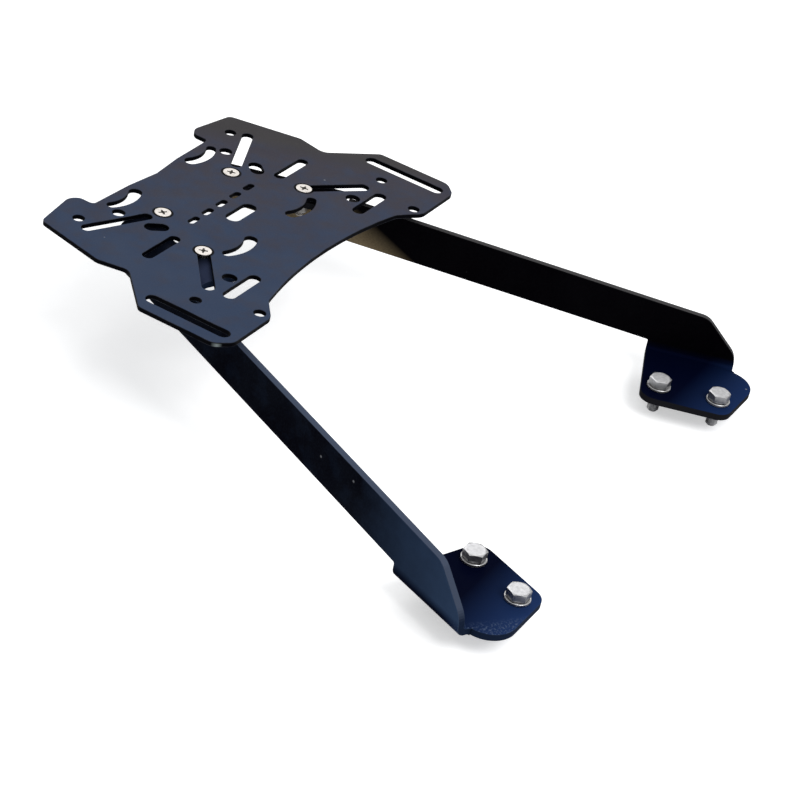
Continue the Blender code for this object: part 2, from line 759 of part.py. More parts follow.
def nut_mesh():
    """Lock nut with its upper face at zero and its collar below."""
    bore = SCREW_RADIUS + CLEARANCE_ON_RADIUS
    corner = NUT_ACROSS_FLATS / 2 / math.cos(math.pi / 6)
    blank = turned_mesh(
        "nut_blank",
        [
            (bore, 0.0),
            (corner - NUT_CHAMFER, 0.0),
            (corner, -NUT_CHAMFER / 2),
            (corner, -NUT_HEX_HEIGHT + NUT_CHAMFER / 2),
            (NUT_COLLAR_RADIUS, -NUT_HEX_HEIGHT),
            (NUT_COLLAR_RADIUS, -NUT_HEX_HEIGHT - NUT_COLLAR_HEIGHT / 2),
            (NUT_COLLAR_RADIUS - NUT_CHAMFER, -NUT_HEX_HEIGHT - NUT_COLLAR_HEIGHT),
            (bore, -NUT_HEX_HEIGHT - NUT_COLLAR_HEIGHT),
        ],
        ring=True,
    )
    bar_end = NUT_HEX_HEIGHT + 2 * NUT_COLLAR_HEIGHT
    bar = prism_mesh("hex_bar", hexagon(NUT_ACROSS_FLATS), -bar_end, NUT_CHAMFER)
    return combined("plate_nut", blank, bar, "INTERSECT")


def bolt_mesh():
    """Hexagon bolt with the underside of its head at zero."""
    corner = BOLT_ACROSS_FLATS / 2 / math.cos(math.pi / 6)
    blank = turned_mesh(
        "bolt_blank",
        [
            (0.0, BOLT_HEAD_HEIGHT),
            (corner - BOLT_CHAMFER, BOLT_HEAD_HEIGHT),
            (corner, BOLT_HEAD_HEIGHT - BOLT_CHAMFER / 2),
            (corner, 0.0),
            (BOLT_RADIUS, 0.0),
            (BOLT_RADIUS, -BOLT_LENGTH + BOLT_TIP),
            (BOLT_RADIUS - BOLT_TIP, -BOLT_LENGTH),
            (0.0, -BOLT_LENGTH),
        ],
    )
    bar = prism_mesh(
        "hex_bar", hexagon(BOLT_ACROSS_FLATS), -2 * BOLT_LENGTH, 2 * BOLT_HEAD_HEIGHT
    )
    return combined("foot_bolt", blank, bar, "INTERSECT")


def make_plate_fastenings(parent):
    """Screw, washer and nut at each of the four places where the plate sits on a flange."""
    washer_top = FLANGE_TOP_Z - ARM_THICKNESS - GAP
    nut_top = washer_top - WASHER_THICKNESS - GAP
    bore = SCREW_RADIUS + CLEARANCE_ON_RADIUS
    kinds = {
        "plate_screw": (screw_mesh(), screw_steel(), SCREW_HEAD_RISE),
        "plate_washer": (
            washer_mesh("plate_washer", bore, WASHER_RADIUS, WASHER_THICKNESS),
            washer_steel(),
            washer_top,
        ),
        "plate_nut": (nut_mesh(), nut_steel(), nut_top),
    }
    for end, (x, y) in (("front", FRONT_SCREW), ("rear", REAR_SCREW)):
        for hand, side in (("right", 1), ("left", -1)):
            for kind, (mesh, coat, z) in kinds.items():
                name = f"{kind}_{end}_{hand}"
                add_object(name, mesh, parent, coat, location=(side * x, y, z))


def make_foot_fastenings(parent):
    """Bolt and washer at each of the two holes of each foot."""
    washer_top = FOOT_TOP_Z + GAP + BOLT_WASHER_THICKNESS
    bore = BOLT_RADIUS + CLEARANCE_ON_RADIUS
    kinds = {
        "foot_bolt": (bolt_mesh(), bolt_steel(), washer_top + GAP),
        "foot_washer": (
            washer_mesh("foot_washer", bore, BOLT_WASHER_RADIUS, BOLT_WASHER_THICKNESS),
            washer_steel(),
            washer_top,
        ),
    }
    for end, place in foot_bolt_places().items():
        x, y = from_arm(*place)
        for hand, side in (("right", 1), ("left", -1)):
            for kind, (mesh, coat, z) in kinds.items():
                name = f"{kind}_{end}_{hand}"
                add_object(name, mesh, parent, coat, location=(side * x, y, z))


def build():
    clear_scene()
    rack = bpy.data.objects.new("luggage_rack", None)
    bpy.context.collection.objects.link(rack)
    make_plate(rack, plate_coat())
    coat = arm_coat()
    make_arm("right_arm", 1, rack, coat)
    make_arm("left_arm", -1, rack, coat)
    make_plate_fastenings(rack)
    make_foot_fastenings(rack)


build()
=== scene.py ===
"""Finish, light and camera for the motorcycle luggage rack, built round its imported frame.

Shapes are in millimetres until a mesh is placed. Materials, light and camera are in metres.
"""

import math

import bmesh
import bpy
from mathutils import Matrix, Quaternion, Vector


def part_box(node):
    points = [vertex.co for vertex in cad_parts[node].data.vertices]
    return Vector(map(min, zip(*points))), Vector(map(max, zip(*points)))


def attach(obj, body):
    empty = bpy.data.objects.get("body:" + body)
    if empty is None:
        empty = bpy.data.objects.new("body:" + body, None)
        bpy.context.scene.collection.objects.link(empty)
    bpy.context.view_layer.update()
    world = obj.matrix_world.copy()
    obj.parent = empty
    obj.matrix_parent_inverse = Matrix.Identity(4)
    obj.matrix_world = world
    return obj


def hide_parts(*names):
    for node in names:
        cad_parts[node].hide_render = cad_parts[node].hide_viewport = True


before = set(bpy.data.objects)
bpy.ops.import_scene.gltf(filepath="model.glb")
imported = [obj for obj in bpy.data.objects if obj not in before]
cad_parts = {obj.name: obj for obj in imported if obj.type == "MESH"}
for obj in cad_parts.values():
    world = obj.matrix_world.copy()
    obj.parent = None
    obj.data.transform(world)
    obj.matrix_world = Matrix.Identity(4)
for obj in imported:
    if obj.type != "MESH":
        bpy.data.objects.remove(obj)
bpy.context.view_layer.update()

MM = 0.001
HANDS = (("right", 1), ("left", -1))

# Facets of the finished surfaces
CORNER_STEP = math.radians(6)  # widest turn of one facet round an outline's corner
STRAIGHT = 0.02  # a corner that turns less than this, in radians, stays a point
HOLE_SIDES = 60
TURNED_SIDES = 64
CORE_SIDES = 24
EDGE_STEPS = 3  # facets round a sheet's broken edge
ROUND_STEPS = 5  # facets round a fastener's rounded rim
BEND_STEPS = 22
THREAD_STEPS = 8  # rows of facets to one turn of a thread
SMOOTH_ANGLE = math.radians(32)
FLAT_ANGLE = math.radians(0.05)
FLAT_WEIGHT = 80  # hold of large flat faces on shading
WELD = 0.0005  # corners of a sheet that are closer than this are one
FASTENER_WELD = 0.002
SLIVER_PASSES = 4

# What tells a sheet's faces apart: how far their normals rise
FLAT_LEAN = 0.98
SIDE_LEAN = 0.5
UPRIGHT_LEAN = 0.05
COUNTERSINK_MARGIN = 0.05  # faces this far inside a countersink are its own

# Fits
GAP = 0.3  # kept between faces that touch on the real rack
CLEARANCE_ON_RADIUS = 0.3  # of a bolt or screw in its hole

# Carrier plate: thickness and edge
PLATE_THICKNESS = 3.2
PLATE_EDGE = 0.35  # width of the broken edge round the outline and the openings

# Carrier plate: outline of the right half, from the rear middle round to the front middle
REAR_MIDDLE = (0.0, -77.3)
REAR_DIP = (27.0, -80.0)
TAB_ROOT = (64.8, -80.9)
TAB_INNER = (64.8, -90.9)
TAB_REAR = (70.0, -96.3)
TAB_OUTER = (106.0, -90.3)
HIP = (118.0, -39.3)
WAIST = (113.3, -18.3)
WING_X = 143.6
WING_REAR_Y = 10.1
WING_FRONT_Y = 72.7
WING_CORNER_LENGTH = 9.0  # bevelled corner, along Y
WING_CORNER_WIDTH = 9.5  # bevelled corner, along X
WING_INNER_X = 93.4
SHOULDER_X = 78.0
FRONT_MIDDLE_Y = 52.3
FRONT_ARC_RADIUS = 355.0
FRONT_ARC_FACETS = 48
FRONT_ARC_END = 6.0  # the arc's points stop this far short of the shoulders
SOFT_CORNER = 3.0
WIDE_CORNER = 9.0
CORNER = 5.0
WAIST_CORNER = 8.0
SHOULDER_CORNER = 10.0

# Carrier plate: openings, as places on the right half
SLOT_WIDTH = 8.4
REAR_SLOT_WIDTH = 7.6
STRAP_SLOT = (130.0, 36.6)
STRAP_SLOT_LENGTH = 60.0
STRAP_SLOT_WIDTH = 9.0
CROSS_SLOT_LENGTH = 36.0
FRONT_CROSS_SLOT = (76.9, 40.6)
MIDDLE_CROSS_SLOT = (75.8, -20.6)
FRONT_SLANT_END = (92.5, 26.2)
REAR_SLANT_START = (51.7, -48.8)
REAR_SLANT_END = (91.7, -65.9)
OVAL_START = (55.4, -34.4)
OVAL_END = (60.1, -39.2)
OVAL_WIDTH = 9.2
SMALL_HOLES = [(94.2, 65.0), (111.5, 29.6), (86.3, -76.5)]  # front corner, wing, rear corner
SMALL_HOLE_DIAMETER = 7.7
ROUND_HOLE = (74.0, 29.5)
ROUND_HOLE_DIAMETER = 9.6
TAB_HOLE = (61.3, -63.6)
TAB_HOLE_DIAMETER = 8.5

# Carrier plate: curved slots, thick at the inner end and thin at the outer end
REAR_CRESCENT_START = (31.7, -71.8)
REAR_CRESCENT_END = (56.7, -72.4)
FRONT_CRESCENT_START = (24.2, 12.7)
FRONT_CRESCENT_END = (50.2, 11.8)
CRESCENT_START_RADIUS = 4.3
CRESCENT_END_RADIUS = 3.2
CRESCENT_RISE = 3.2
CRESCENT_FACETS = 24

# Carrier plate: plain windows in its middle
WINDOW_LENGTH = 28.0
WINDOW_WIDTH = 10.0
WINDOW_Y = -10.8
ROW_COUNT = 5
ROW_PITCH = 16.0
ROW_SLOT_LENGTH = 10.5
ROW_SLOT_WIDTH = 4.5
ROW_Y = -26.0

# Plate screws: countersunk, cross recess, M6
FRONT_SCREW = (59.5, 0.0)
REAR_SCREW = (39.5, -44.8)
SCREW_RADIUS = 3.0
SCREW_LENGTH = 20.0
SCREW_HEAD_RADIUS = 5.4
SCREW_HEAD_RIM = 0.3  # depth of the head's upright rim
SCREW_HEAD_HEIGHT = 2.9
SCREW_FACE_RADIUS = 5.15
SCREW_ROUND = 0.2  # radius round the head's face
SCREW_NECK = 0.05  # of the cone's foot over the shank
SCREW_PLAIN_Z = -4.0  # the thread's rows of facets start here
SCREW_THREAD = (-19.9, -8.0, SCREW_RADIUS, 1.0)  # bottom, top, crest radius and pitch
SCREW_TIP = 0.8
SCREW_BORE = SCREW_RADIUS + CLEARANCE_ON_RADIUS
COUNTERSINK_RADIUS = 5.874  # on the plate's upper face, with the gap kept square to the cone
SCREW_TURNS = {"front_right": 0.5, "front_left": 0.15, "rear_right": 0.95, "rear_left": 0.35}

# Cross recess of the screws
RECESS_SPAN = 6.2
RECESS_WING = 0.62  # half width of a wing at its end
RECESS_ROOT = (1.05, 0.78)  # where a wing meets the next one
RECESS_DEPTH = 2.6
RECESS_TAPER = 0.42  # floor of the recess against its mouth
CUTTER_RISE = 0.3  # of a cutter over the face that it opens
RECESS_CORE = [(1.5, CUTTER_RISE), (0.9, -RECESS_DEPTH), (0.15, -2.9)]  # (radius, height)
RECESS_REACH = 3.15  # faces nearer to the screw's middle than this are the recess
RECESS_LIP = 0.02  # and so much below its face
RECESS_BOTTOM = 3.0

# Washers
WASHER_THICKNESS = 1.6
WASHER_EDGE = 0.12
WASHER_RADIUS = 6.0
BROAD_WASHER_RADIUS = 8.0

# Lock nut with a nylon ring
NUT_ACROSS_FLATS = 10.0
NUT_FACE = [(3.3, -0.2), (3.6, 0.0), (4.75, 0.0)]  # (radius, height) of the seat and its mouth
NUT_FOOT_RADIUS = 4.75
NUT_CHAMFER = 0.45
NUT_HEX_HEIGHT = 4.4
NUT_COLLAR_RADIUS = 4.7
NUT_COLLAR_ROUND = 0.5
NUT_HEIGHT = 5.9
NUT_GROOVE_RADIUS = 3.95
NUT_GROOVE_DEPTH = 1.0
RING_UPPER = [(3.06, -5.0), (3.88, -5.0)]  # the nylon ring's section, as (radius, height)
RING_LOWER = [(3.88, -5.75), (3.75, -5.86), (3.2, -5.86), (3.06, -5.7)]

# Foot bolts: hexagon, M8
BOLT_RADIUS = 4.0
BOLT_BORE = BOLT_RADIUS + CLEARANCE_ON_RADIUS
BOLT_LENGTH = 20.0
BOLT_ACROSS_FLATS = 13.0
BOLT_HEAD_HEIGHT = 5.3
BOLT_FACE = [(5.0, -0.05), (5.4, 0.0), (6.2, 0.0)]  # (radius, height over it) of the dished face
BOLT_CHAMFER = 0.55
BOLT_HEX_FOOT = 0.3
BOLT_SEAT = [(5.9, 0.25), (5.8, 0.0), (4.1, 0.0), (4.0, -0.4)]  # (radius, height) under the head
BOLT_PLAIN_Z = -1.0
BOLT_THREAD = (-19.95, -1.6, BOLT_RADIUS, 1.25)  # bottom, top, crest radius and pitch
BOLT_TIP = 1.0
THREAD_DEPTH = 0.61  # of the pitch
BAR_TOP = 10.0  # the hexagon bars that heads and nuts are cut from reach beyond them
BAR_BOTTOM = -40.0

# Arms: sheet and setting
ARM_THICKNESS = 4.75
ARM_EDGE = 0.4
ARM_SPLAY = math.radians(21.5)
ARM_X = 86.7  # where the wall's outer face crosses the line through the front screws

# Arms: wall, by distance along it from that crossing and by height
WALL_TOP_Z = -10.6
WALL_TOP_SLOPE = 0.089
WALL_BOTTOM_Z = -40.3
WALL_BOTTOM_SLOPE = 0.088
WALL_REAR = -67.3
WALL_FRONT = 296.7
NOSE_TOP = 272.0
NOSE_FRONT_Z = -59.0
NOSE_TOP_CORNER = 12.0
NOSE_FRONT_CORNER = 16.0
WALL_REAR_CORNER = 8.0

# Arms: flange under the plate
FLANGE_TOP_Z = -3.5
FLANGE_RADIUS = 12.0  # outside of the bend
FLANGE_BEND_Z = FLANGE_TOP_Z - FLANGE_RADIUS
FLANGE_FRONT = 17.3
EAR_EDGE = 11.5  # material inboard of each screw
EAR_CORNER = 5.0
FRONT_EAR_REAR = -23.0
REAR_EAR_FRONT = -43.5
NOTCH_FRONT = -28.0
NOTCH_REAR = -40.0
NOTCH_FLOOR = 18.5
NOTCH_CORNER = 4.0
RELIEF_WIDTH = 1.6
RELIEF_DEPTH = 0.8
RELIEF_CORNER = 0.53

# Arms: foot
FOOT_Z = -72.0  # underside
FOOT_RADIUS = 7.0
FOOT_BEND_Z = FOOT_Z + FOOT_RADIUS
FOOT_REAR = 236.6
FOOT_SIDE = 9.0  # from the wall's outer face in to the foot's free side
FOOT_REACH = 68.0
FOOT_FRONT_Y = 299.6  # the front edge lies square across the motorcycle
FOOT_OUTER_CORNER = 18.0
FOOT_INNER_CORNER = 10.0
FOOT_ROOT_CORNER = 1.5
FOOT_BOLTS = {"rear": (248.3, 52.0), "front": (288.3, 52.0)}  # along the wall, in from its face

# Where the coat's tones change, in metres over the rack
PLATE_SLOPE = (0.9, 0.4)
LEFT_STRIP = (-0.112, -0.092)  # along the plate's slope
RING_REACH = (0.0066, 0.0072)  # from a screw's middle
FOOT_FADE_Z = (-0.0665, -0.061)
FOOT_RUN_Y = (0.262, 0.304)
GLINT_SLOPE = (0.6, 0.8)
GLINT_RUN = (0.331, 0.337)
# where the painted light on the right flange's front lies
FLANGE_RUN_Y = (0.0, 0.010)
FLANGE_FADE_Z = (-0.009, -0.006)
# where the painted reflection of lit tan ground lies at the left arm's root
TAN_REFLECTION_SLOPE = (0.0, -1.0, -1.43)
TAN_REFLECTION_RUN = (-0.003, 0.027)
TAN_REFLECTION_FADE_Z = (-0.018, -0.014)
TAN_REFLECTION_DEPTH = (ARM_THICKNESS - 1.0) * MM  # from the wall's outer face
BRIGHT_ALONG = Vector((0.69, -0.72))  # painted highlight on the wing's bevelled corner
BRIGHT_OUTWARD = Vector((0.72, 0.69))
BRIGHT_MIDDLE = Vector((0.1416, 0.0655))
BRIGHT_LIMIT = Vector((0.1388, 0.0667))
BRIGHT_RUN = (0.0002, 0.0034)
BRIGHT_FADE_Z = (-0.0012, -0.0004)
FOOT_SHADE = (0.0006, 0.0016, 0.010)  # colour at the feet's rear
# painted glints on the foot's front edge
GLINT_COLOUR = (0.07, 0.10, 0.17)
DUST_COLOUR = (0.30, 0.31, 0.33)
ARM_SPECKS = [(0.1451, 0.1483, -0.0380), (0.1565, 0.1771, -0.0351)]
SPECK_REACH = (0.0004, 0.0011)

# Floor and world
FLOOR_GREY = 0.86
FLOOR_GLOW = 0.48  # seen by the camera alone, so that the floor looks white
FLOOR_SIZE = 8.0
FLOOR_DROP = 0.0005
SKY_COLOUR = (0.96, 0.98, 1.0)
SKY_STRENGTH = 0.55
WHITE = (1.0, 1.0, 1.0)

# Camera: the photograph's view, found from the plate's places in it
CAMERA_PLACE = (1.23558, 0.66131, 0.77627)
CAMERA_SIGHT = (-0.77494552, -0.33541469, -0.53568315)
CAMERA_ROLL = math.radians(12.777)
FOCAL_PIXELS = 2491.832
IMAGE_WIDTH = 800
SENSOR_WIDTH = 36.0

# A Mix node's colour sockets
MIX_FIRST = 6
MIX_SECOND = 7
MIX_RESULT = 2


# Outlines


def arc_points(centre, radius, start, turn, facets):
    """Points along an arc, both ends included."""
    points = []
    for i in range(facets + 1):
        angle = start + turn * i / facets
        points.append((centre[0] + radius * math.cos(angle), centre[1] + radius * math.sin(angle)))
    return points


def circle(centre, diameter):
    return arc_points(centre, diameter / 2, 0.0, math.tau, HOLE_SIDES)[:-1]


def hexagon(across_flats):
    corner = across_flats / 2 / math.cos(math.pi / 6)
    return arc_points((0.0, 0.0), corner, 0.0, math.tau, 6)[:-1]


def obround(start, end, width):
    """Slot outline round two end centres."""
    heading = math.atan2(end[1] - start[1], end[0] - start[0])
    facets = HOLE_SIDES // 2
    far = arc_points(end, width / 2, heading - math.pi / 2, math.pi, facets)
    near = arc_points(start, width / 2, heading + math.pi / 2, math.pi, facets)
    return far + near


def straight_slot(centre, length, width, along_x=True):
    half = (length - width) / 2
    dx, dy = (half, 0.0) if along_x else (0.0, half)
    return obround((centre[0] - dx, centre[1] - dy), (centre[0] + dx, centre[1] + dy), width)


def crescent(start, end):
    """Slot that bows forward between two end centres and narrows on the way."""
    chord = math.dist(start, end)
    radius = (chord**2 / 4 + CRESCENT_RISE**2) / (2 * CRESCENT_RISE)
    half_turn = math.asin(chord / 2 / radius)
    heading = math.atan2(end[1] - start[1], end[0] - start[0])
    back = radius - CRESCENT_RISE
    centre = (
        (start[0] + end[0]) / 2 + back * math.sin(heading),
        (start[1] + end[1]) / 2 - back * math.cos(heading),
    )
    outer, inner = [], []
    for i in range(CRESCENT_FACETS + 1):
        share = i / CRESCENT_FACETS
        angle = heading + math.pi / 2 + half_turn * (1 - 2 * share)
        reach = CRESCENT_START_RADIUS + (CRESCENT_END_RADIUS - CRESCENT_START_RADIUS) * share
        for side, points in ((reach, outer), (-reach, inner)):
            x = centre[0] + (radius + side) * math.cos(angle)
            points.append((x, centre[1] + (radius + side) * math.sin(angle)))
    facets = HOLE_SIDES // 2
    last = heading + math.pi / 2 - half_turn
    first = heading + math.pi / 2 + half_turn
    end_cap = arc_points(end, CRESCENT_END_RADIUS, last, -math.pi, facets)[1:-1]
    start_cap = arc_points(start, CRESCENT_START_RADIUS, first + math.pi, -math.pi, facets)[1:-1]
    return outer + end_cap + inner[::-1] + start_cap


def mirrored(outline):
    return [(-x, y) for x, y in reversed(outline)]


def rounded(corners):
    """Closed outline through (x, y, radius) corners, each replaced by its arc."""
    outline = []
    for i, (x, y, radius) in enumerate(corners):
        before = corners[i - 1]
        after = corners[(i + 1) % len(corners)]
        heading_in = math.atan2(y - before[1], x - before[0])
        heading_out = math.atan2(after[1] - y, after[0] - x)
        turn = math.remainder(heading_out - heading_in, math.tau)
        if not radius or abs(turn) < STRAIGHT:
            outline.append((x, y))
            continue
        setback = radius * math.tan(abs(turn) / 2)
        side = math.copysign(1.0, turn)
        start = heading_in - side * math.pi / 2
        centre = (
            x - setback * math.cos(heading_in) - radius * math.cos(start),
            y - setback * math.sin(heading_in) - radius * math.sin(start),
        )
        facets = max(2, math.ceil(abs(turn) / CORNER_STEP))
        outline.extend(arc_points(centre, radius, start, turn, facets))
    return outline


def front_arc(x):
    """Y of the hollow front edge at an X."""
    return FRONT_MIDDLE_Y + FRONT_ARC_RADIUS - math.sqrt(FRONT_ARC_RADIUS**2 - x**2)


def plate_outline():
    right = [
        (*REAR_DIP, CORNER),
        (*TAB_ROOT, SOFT_CORNER),
        (*TAB_INNER, CORNER),
        (*TAB_REAR, WIDE_CORNER),
        (*TAB_OUTER, CORNER),
        (*HIP, WAIST_CORNER),
        (*WAIST, WAIST_CORNER),
        (WING_X, WING_REAR_Y, CORNER),
        (WING_X, WING_FRONT_Y - WING_CORNER_LENGTH, WIDE_CORNER),
        (WING_X - WING_CORNER_WIDTH, WING_FRONT_Y, WIDE_CORNER),
        (WING_INNER_X, WING_FRONT_Y, SHOULDER_CORNER),
        (SHOULDER_X, front_arc(SHOULDER_X), SHOULDER_CORNER),
    ]
    front = []
    for i in range(1, FRONT_ARC_FACETS):
        x = SHOULDER_X * (1 - 2 * i / FRONT_ARC_FACETS)
        if abs(x) < SHOULDER_X - FRONT_ARC_END:
            front.append((x, front_arc(x), 0.0))
    left = [(-x, y, radius) for x, y, radius in reversed(right)]
    return rounded([(*REAR_MIDDLE, CORNER)] + right + front + left)


def side_openings():
    """Openings of the plate's right half, which the left half mirrors."""
    return [
        straight_slot(STRAP_SLOT, STRAP_SLOT_LENGTH, STRAP_SLOT_WIDTH, along_x=False),
        straight_slot(FRONT_CROSS_SLOT, CROSS_SLOT_LENGTH, SLOT_WIDTH),
        straight_slot(MIDDLE_CROSS_SLOT, CROSS_SLOT_LENGTH, REAR_SLOT_WIDTH),
        obround(FRONT_SCREW, FRONT_SLANT_END, SLOT_WIDTH),
        obround(REAR_SLANT_START, REAR_SLANT_END, REAR_SLOT_WIDTH),
        obround(OVAL_START, OVAL_END, OVAL_WIDTH),
        *[circle(hole, SMALL_HOLE_DIAMETER) for hole in SMALL_HOLES],
        circle(ROUND_HOLE, ROUND_HOLE_DIAMETER),
        circle(TAB_HOLE, TAB_HOLE_DIAMETER),
        crescent(REAR_CRESCENT_START, REAR_CRESCENT_END),
        crescent(FRONT_CRESCENT_START, FRONT_CRESCENT_END),
    ]


def middle_windows():
    windows = [straight_slot((0.0, WINDOW_Y), WINDOW_LENGTH, WINDOW_WIDTH)]
    for i in range(ROW_COUNT):
        x = (i - (ROW_COUNT - 1) / 2) * ROW_PITCH
        windows.append(straight_slot((x, ROW_Y), ROW_SLOT_LENGTH, ROW_SLOT_WIDTH))
    return windows


def on_arm(place):
    """A place of the right half as (distance along the wall, distance in from its outer face)."""
    dx = place[0] - ARM_X
    along = dx * math.sin(ARM_SPLAY) + place[1] * math.cos(ARM_SPLAY)
    inboard = place[1] * math.sin(ARM_SPLAY) - dx * math.cos(ARM_SPLAY)
    return along, inboard


def from_arm(along, inboard):
    """The reverse of on_arm."""
    x = ARM_X + along * math.sin(ARM_SPLAY) - inboard * math.cos(ARM_SPLAY)
    return x, along * math.cos(ARM_SPLAY) + inboard * math.sin(ARM_SPLAY)


def bend_arc(outer_radius):
    """Length of sheet that a square bend takes, along its middle."""
    return (outer_radius - ARM_THICKNESS / 2) * math.pi / 2


def on_flange(inboard):
    """Height on the flat blank of a place on the flange."""
    return FLANGE_BEND_Z + bend_arc(FLANGE_RADIUS) + inboard - FLANGE_RADIUS


def on_foot(inboard):
    """Height on the flat blank of a place on the foot."""
    return FOOT_BEND_Z - bend_arc(FOOT_RADIUS) - inboard + FOOT_RADIUS


def foot_front(inboard):
    """Distance along the wall of the foot's front edge."""
    return (FOOT_FRONT_Y - inboard * math.sin(ARM_SPLAY)) / math.cos(ARM_SPLAY)


def wall_top(along):
    return WALL_TOP_Z - WALL_TOP_SLOPE * along


def wall_bottom(along):
    return WALL_BOTTOM_Z - WALL_BOTTOM_SLOPE * along


def blank_outline():
    """Edge of an arm's flat blank, as distance along the wall and height."""
    rear_ear = on_flange(on_arm(REAR_SCREW)[1] + EAR_EDGE)
    front_ear = on_flange(on_arm(FRONT_SCREW)[1] + EAR_EDGE)
    notch = on_flange(NOTCH_FLOOR)
    relief_end = FLANGE_FRONT + RELIEF_WIDTH
    relief_floor = FLANGE_BEND_Z - RELIEF_DEPTH
    return rounded(
        [
            (WALL_REAR, wall_bottom(WALL_REAR), WALL_REAR_CORNER),
            (FOOT_REAR, wall_bottom(FOOT_REAR), FOOT_ROOT_CORNER),
            (FOOT_REAR, on_foot(FOOT_REACH), FOOT_INNER_CORNER),
            (foot_front(FOOT_REACH), on_foot(FOOT_REACH), FOOT_INNER_CORNER),
            (foot_front(FOOT_SIDE), on_foot(FOOT_SIDE), FOOT_OUTER_CORNER),
            (WALL_FRONT, on_foot(FOOT_SIDE), FOOT_ROOT_CORNER),
            (WALL_FRONT, NOSE_FRONT_Z, NOSE_FRONT_CORNER),
            (NOSE_TOP, wall_top(NOSE_TOP), NOSE_TOP_CORNER),
            (relief_end, wall_top(relief_end), RELIEF_WIDTH / 4),
            (relief_end, relief_floor, RELIEF_CORNER),
            (FLANGE_FRONT, relief_floor, RELIEF_CORNER),
            (FLANGE_FRONT, front_ear, EAR_CORNER),
            (FRONT_EAR_REAR, front_ear, EAR_CORNER),
            (NOTCH_FRONT, notch, NOTCH_CORNER),
            (NOTCH_REAR, notch, NOTCH_CORNER),
            (REAR_EAR_FRONT, rear_ear, EAR_CORNER),
            (WALL_REAR, rear_ear, EAR_CORNER),
        ]
    )


def blank_holes():
    """Holes of an arm's flat blank: two for the screws, then two for the foot bolts."""
    holes = []
    for screw in (FRONT_SCREW, REAR_SCREW):
        along, inboard = on_arm(screw)
        holes.append(circle((along, on_flange(inboard)), 2 * SCREW_BORE))
    for along, inboard in FOOT_BOLTS.values():
        holes.append(circle((along, on_foot(inboard)), 2 * BOLT_BORE))
    return holes


# Sheet metal


def sheet_bm(outlines, thickness, edge):
    """Flat sheet about its mid-plane, in metres: the first outline is its edge, the rest openings."""
    curve = bpy.data.curves.new("sheet", "CURVE")
    curve.dimensions = "2D"
    curve.fill_mode = "BOTH"
    curve.extrude = (thickness / 2 - edge) * MM
    curve.bevel_depth = edge * MM
    curve.bevel_resolution = EDGE_STEPS
    curve.offset = -edge * MM
    for outline in outlines:
        spline = curve.splines.new("POLY")
        spline.points.add(len(outline) - 1)
        for point, (x, y) in zip(spline.points, outline):
            point.co = (x * MM, y * MM, 0.0, 1.0)
        spline.use_cyclic_u = True
    drawn = bpy.data.objects.new("sheet", curve)
    filled = bpy.data.meshes.new_from_object(drawn)
    bm = bmesh.new()
    bm.from_mesh(filled)
    bmesh.ops.remove_doubles(bm, verts=bm.verts, dist=WELD * MM)
    bpy.data.objects.remove(drawn)
    bpy.data.curves.remove(curve)
    bpy.data.meshes.remove(filled)
    return bm


def join_flats(bm):
    bmesh.ops.dissolve_limit(bm, angle_limit=FLAT_ANGLE, verts=bm.verts, edges=bm.edges)


def facet_width(face):
    return 2 * face.calc_area() / max(edge.calc_length() for edge in face.edges)


def turn_slivers(bm):
    """Turns the long edge of each facet without width, where three corners lie in line."""
    bmesh.ops.triangulate(bm, faces=bm.faces)
    thin = 2 * WELD * MM
    for _ in range(SLIVER_PASSES):
        for face in [face for face in bm.faces if facet_width(face) < thin]:
            if facet_width(face) < thin:
                bmesh.utils.edge_rotate(max(face.edges, key=lambda edge: edge.calc_length()))


def mark_edges(bm, screws=()):
    """Marks a flat sheet's broken edges as rim and its cut sides, countersinks too, as side."""
    bm.normal_update()
    rim = bm.faces.layers.float.new("rim")
    side = bm.faces.layers.float.new("side")
    for face in bm.faces:
        lean = abs(face.normal.z)
        middle = face.calc_center_median() / MM
        inside = COUNTERSINK_RADIUS - COUNTERSINK_MARGIN
        sunk = any(math.dist(middle[:2], screw) < inside for screw in screws)
        broken = UPRIGHT_LEAN < lean < FLAT_LEAN and not sunk
        cut = lean <= SIDE_LEAN or (sunk and lean < FLAT_LEAN)
        face[rim] = 1.0 if broken else 0.0
        face[side] = 1.0 if cut else 0.0


def countersinks():
    """The four screws' middles and a cutter for each: a cone for its head, a bore for its shank."""
    profile = [
        (COUNTERSINK_RADIUS + GAP, GAP),
        (SCREW_BORE, SCREW_BORE - COUNTERSINK_RADIUS),
        (SCREW_BORE, -PLATE_THICKNESS - GAP),
    ]
    screws = [(side * x, y) for x, y in (FRONT_SCREW, REAR_SCREW) for _, side in HANDS]
    return screws, [("DIFFERENCE", placed(lathe(profile), x, y, 0.0)) for x, y in screws]


def plate_bm():
    """The plate, cut and countersunk."""
    openings = side_openings()
    outlines = [plate_outline()] + openings + [mirrored(o) for o in openings] + middle_windows()
    bm = sheet_bm(outlines, PLATE_THICKNESS, PLATE_EDGE)
    bm.transform(Matrix.Translation((0, 0, -PLATE_THICKNESS / 2 * MM)))
    turn_slivers(bm)
    screws, cutters = countersinks()
    bm = combined(bm, cutters, WELD * MM)
    join_flats(bm)
    mark_edges(bm, screws)
    return bm


def score_bends(bm):
    """Cuts edges across a flat blank where its two bends turn."""
    for step in range(BEND_STEPS + 1):
        share = step / BEND_STEPS
        for height in (
            FLANGE_BEND_Z + share * bend_arc(FLANGE_RADIUS),
            FOOT_BEND_Z - share * bend_arc(FOOT_RADIUS),
        ):
            bmesh.ops.bisect_plane(
                bm,
                geom=bm.verts[:] + bm.edges[:] + bm.faces[:],
                dist=WELD * MM,
                plane_co=(0, height * MM, 0),
                plane_no=(0, 1, 0),
            )


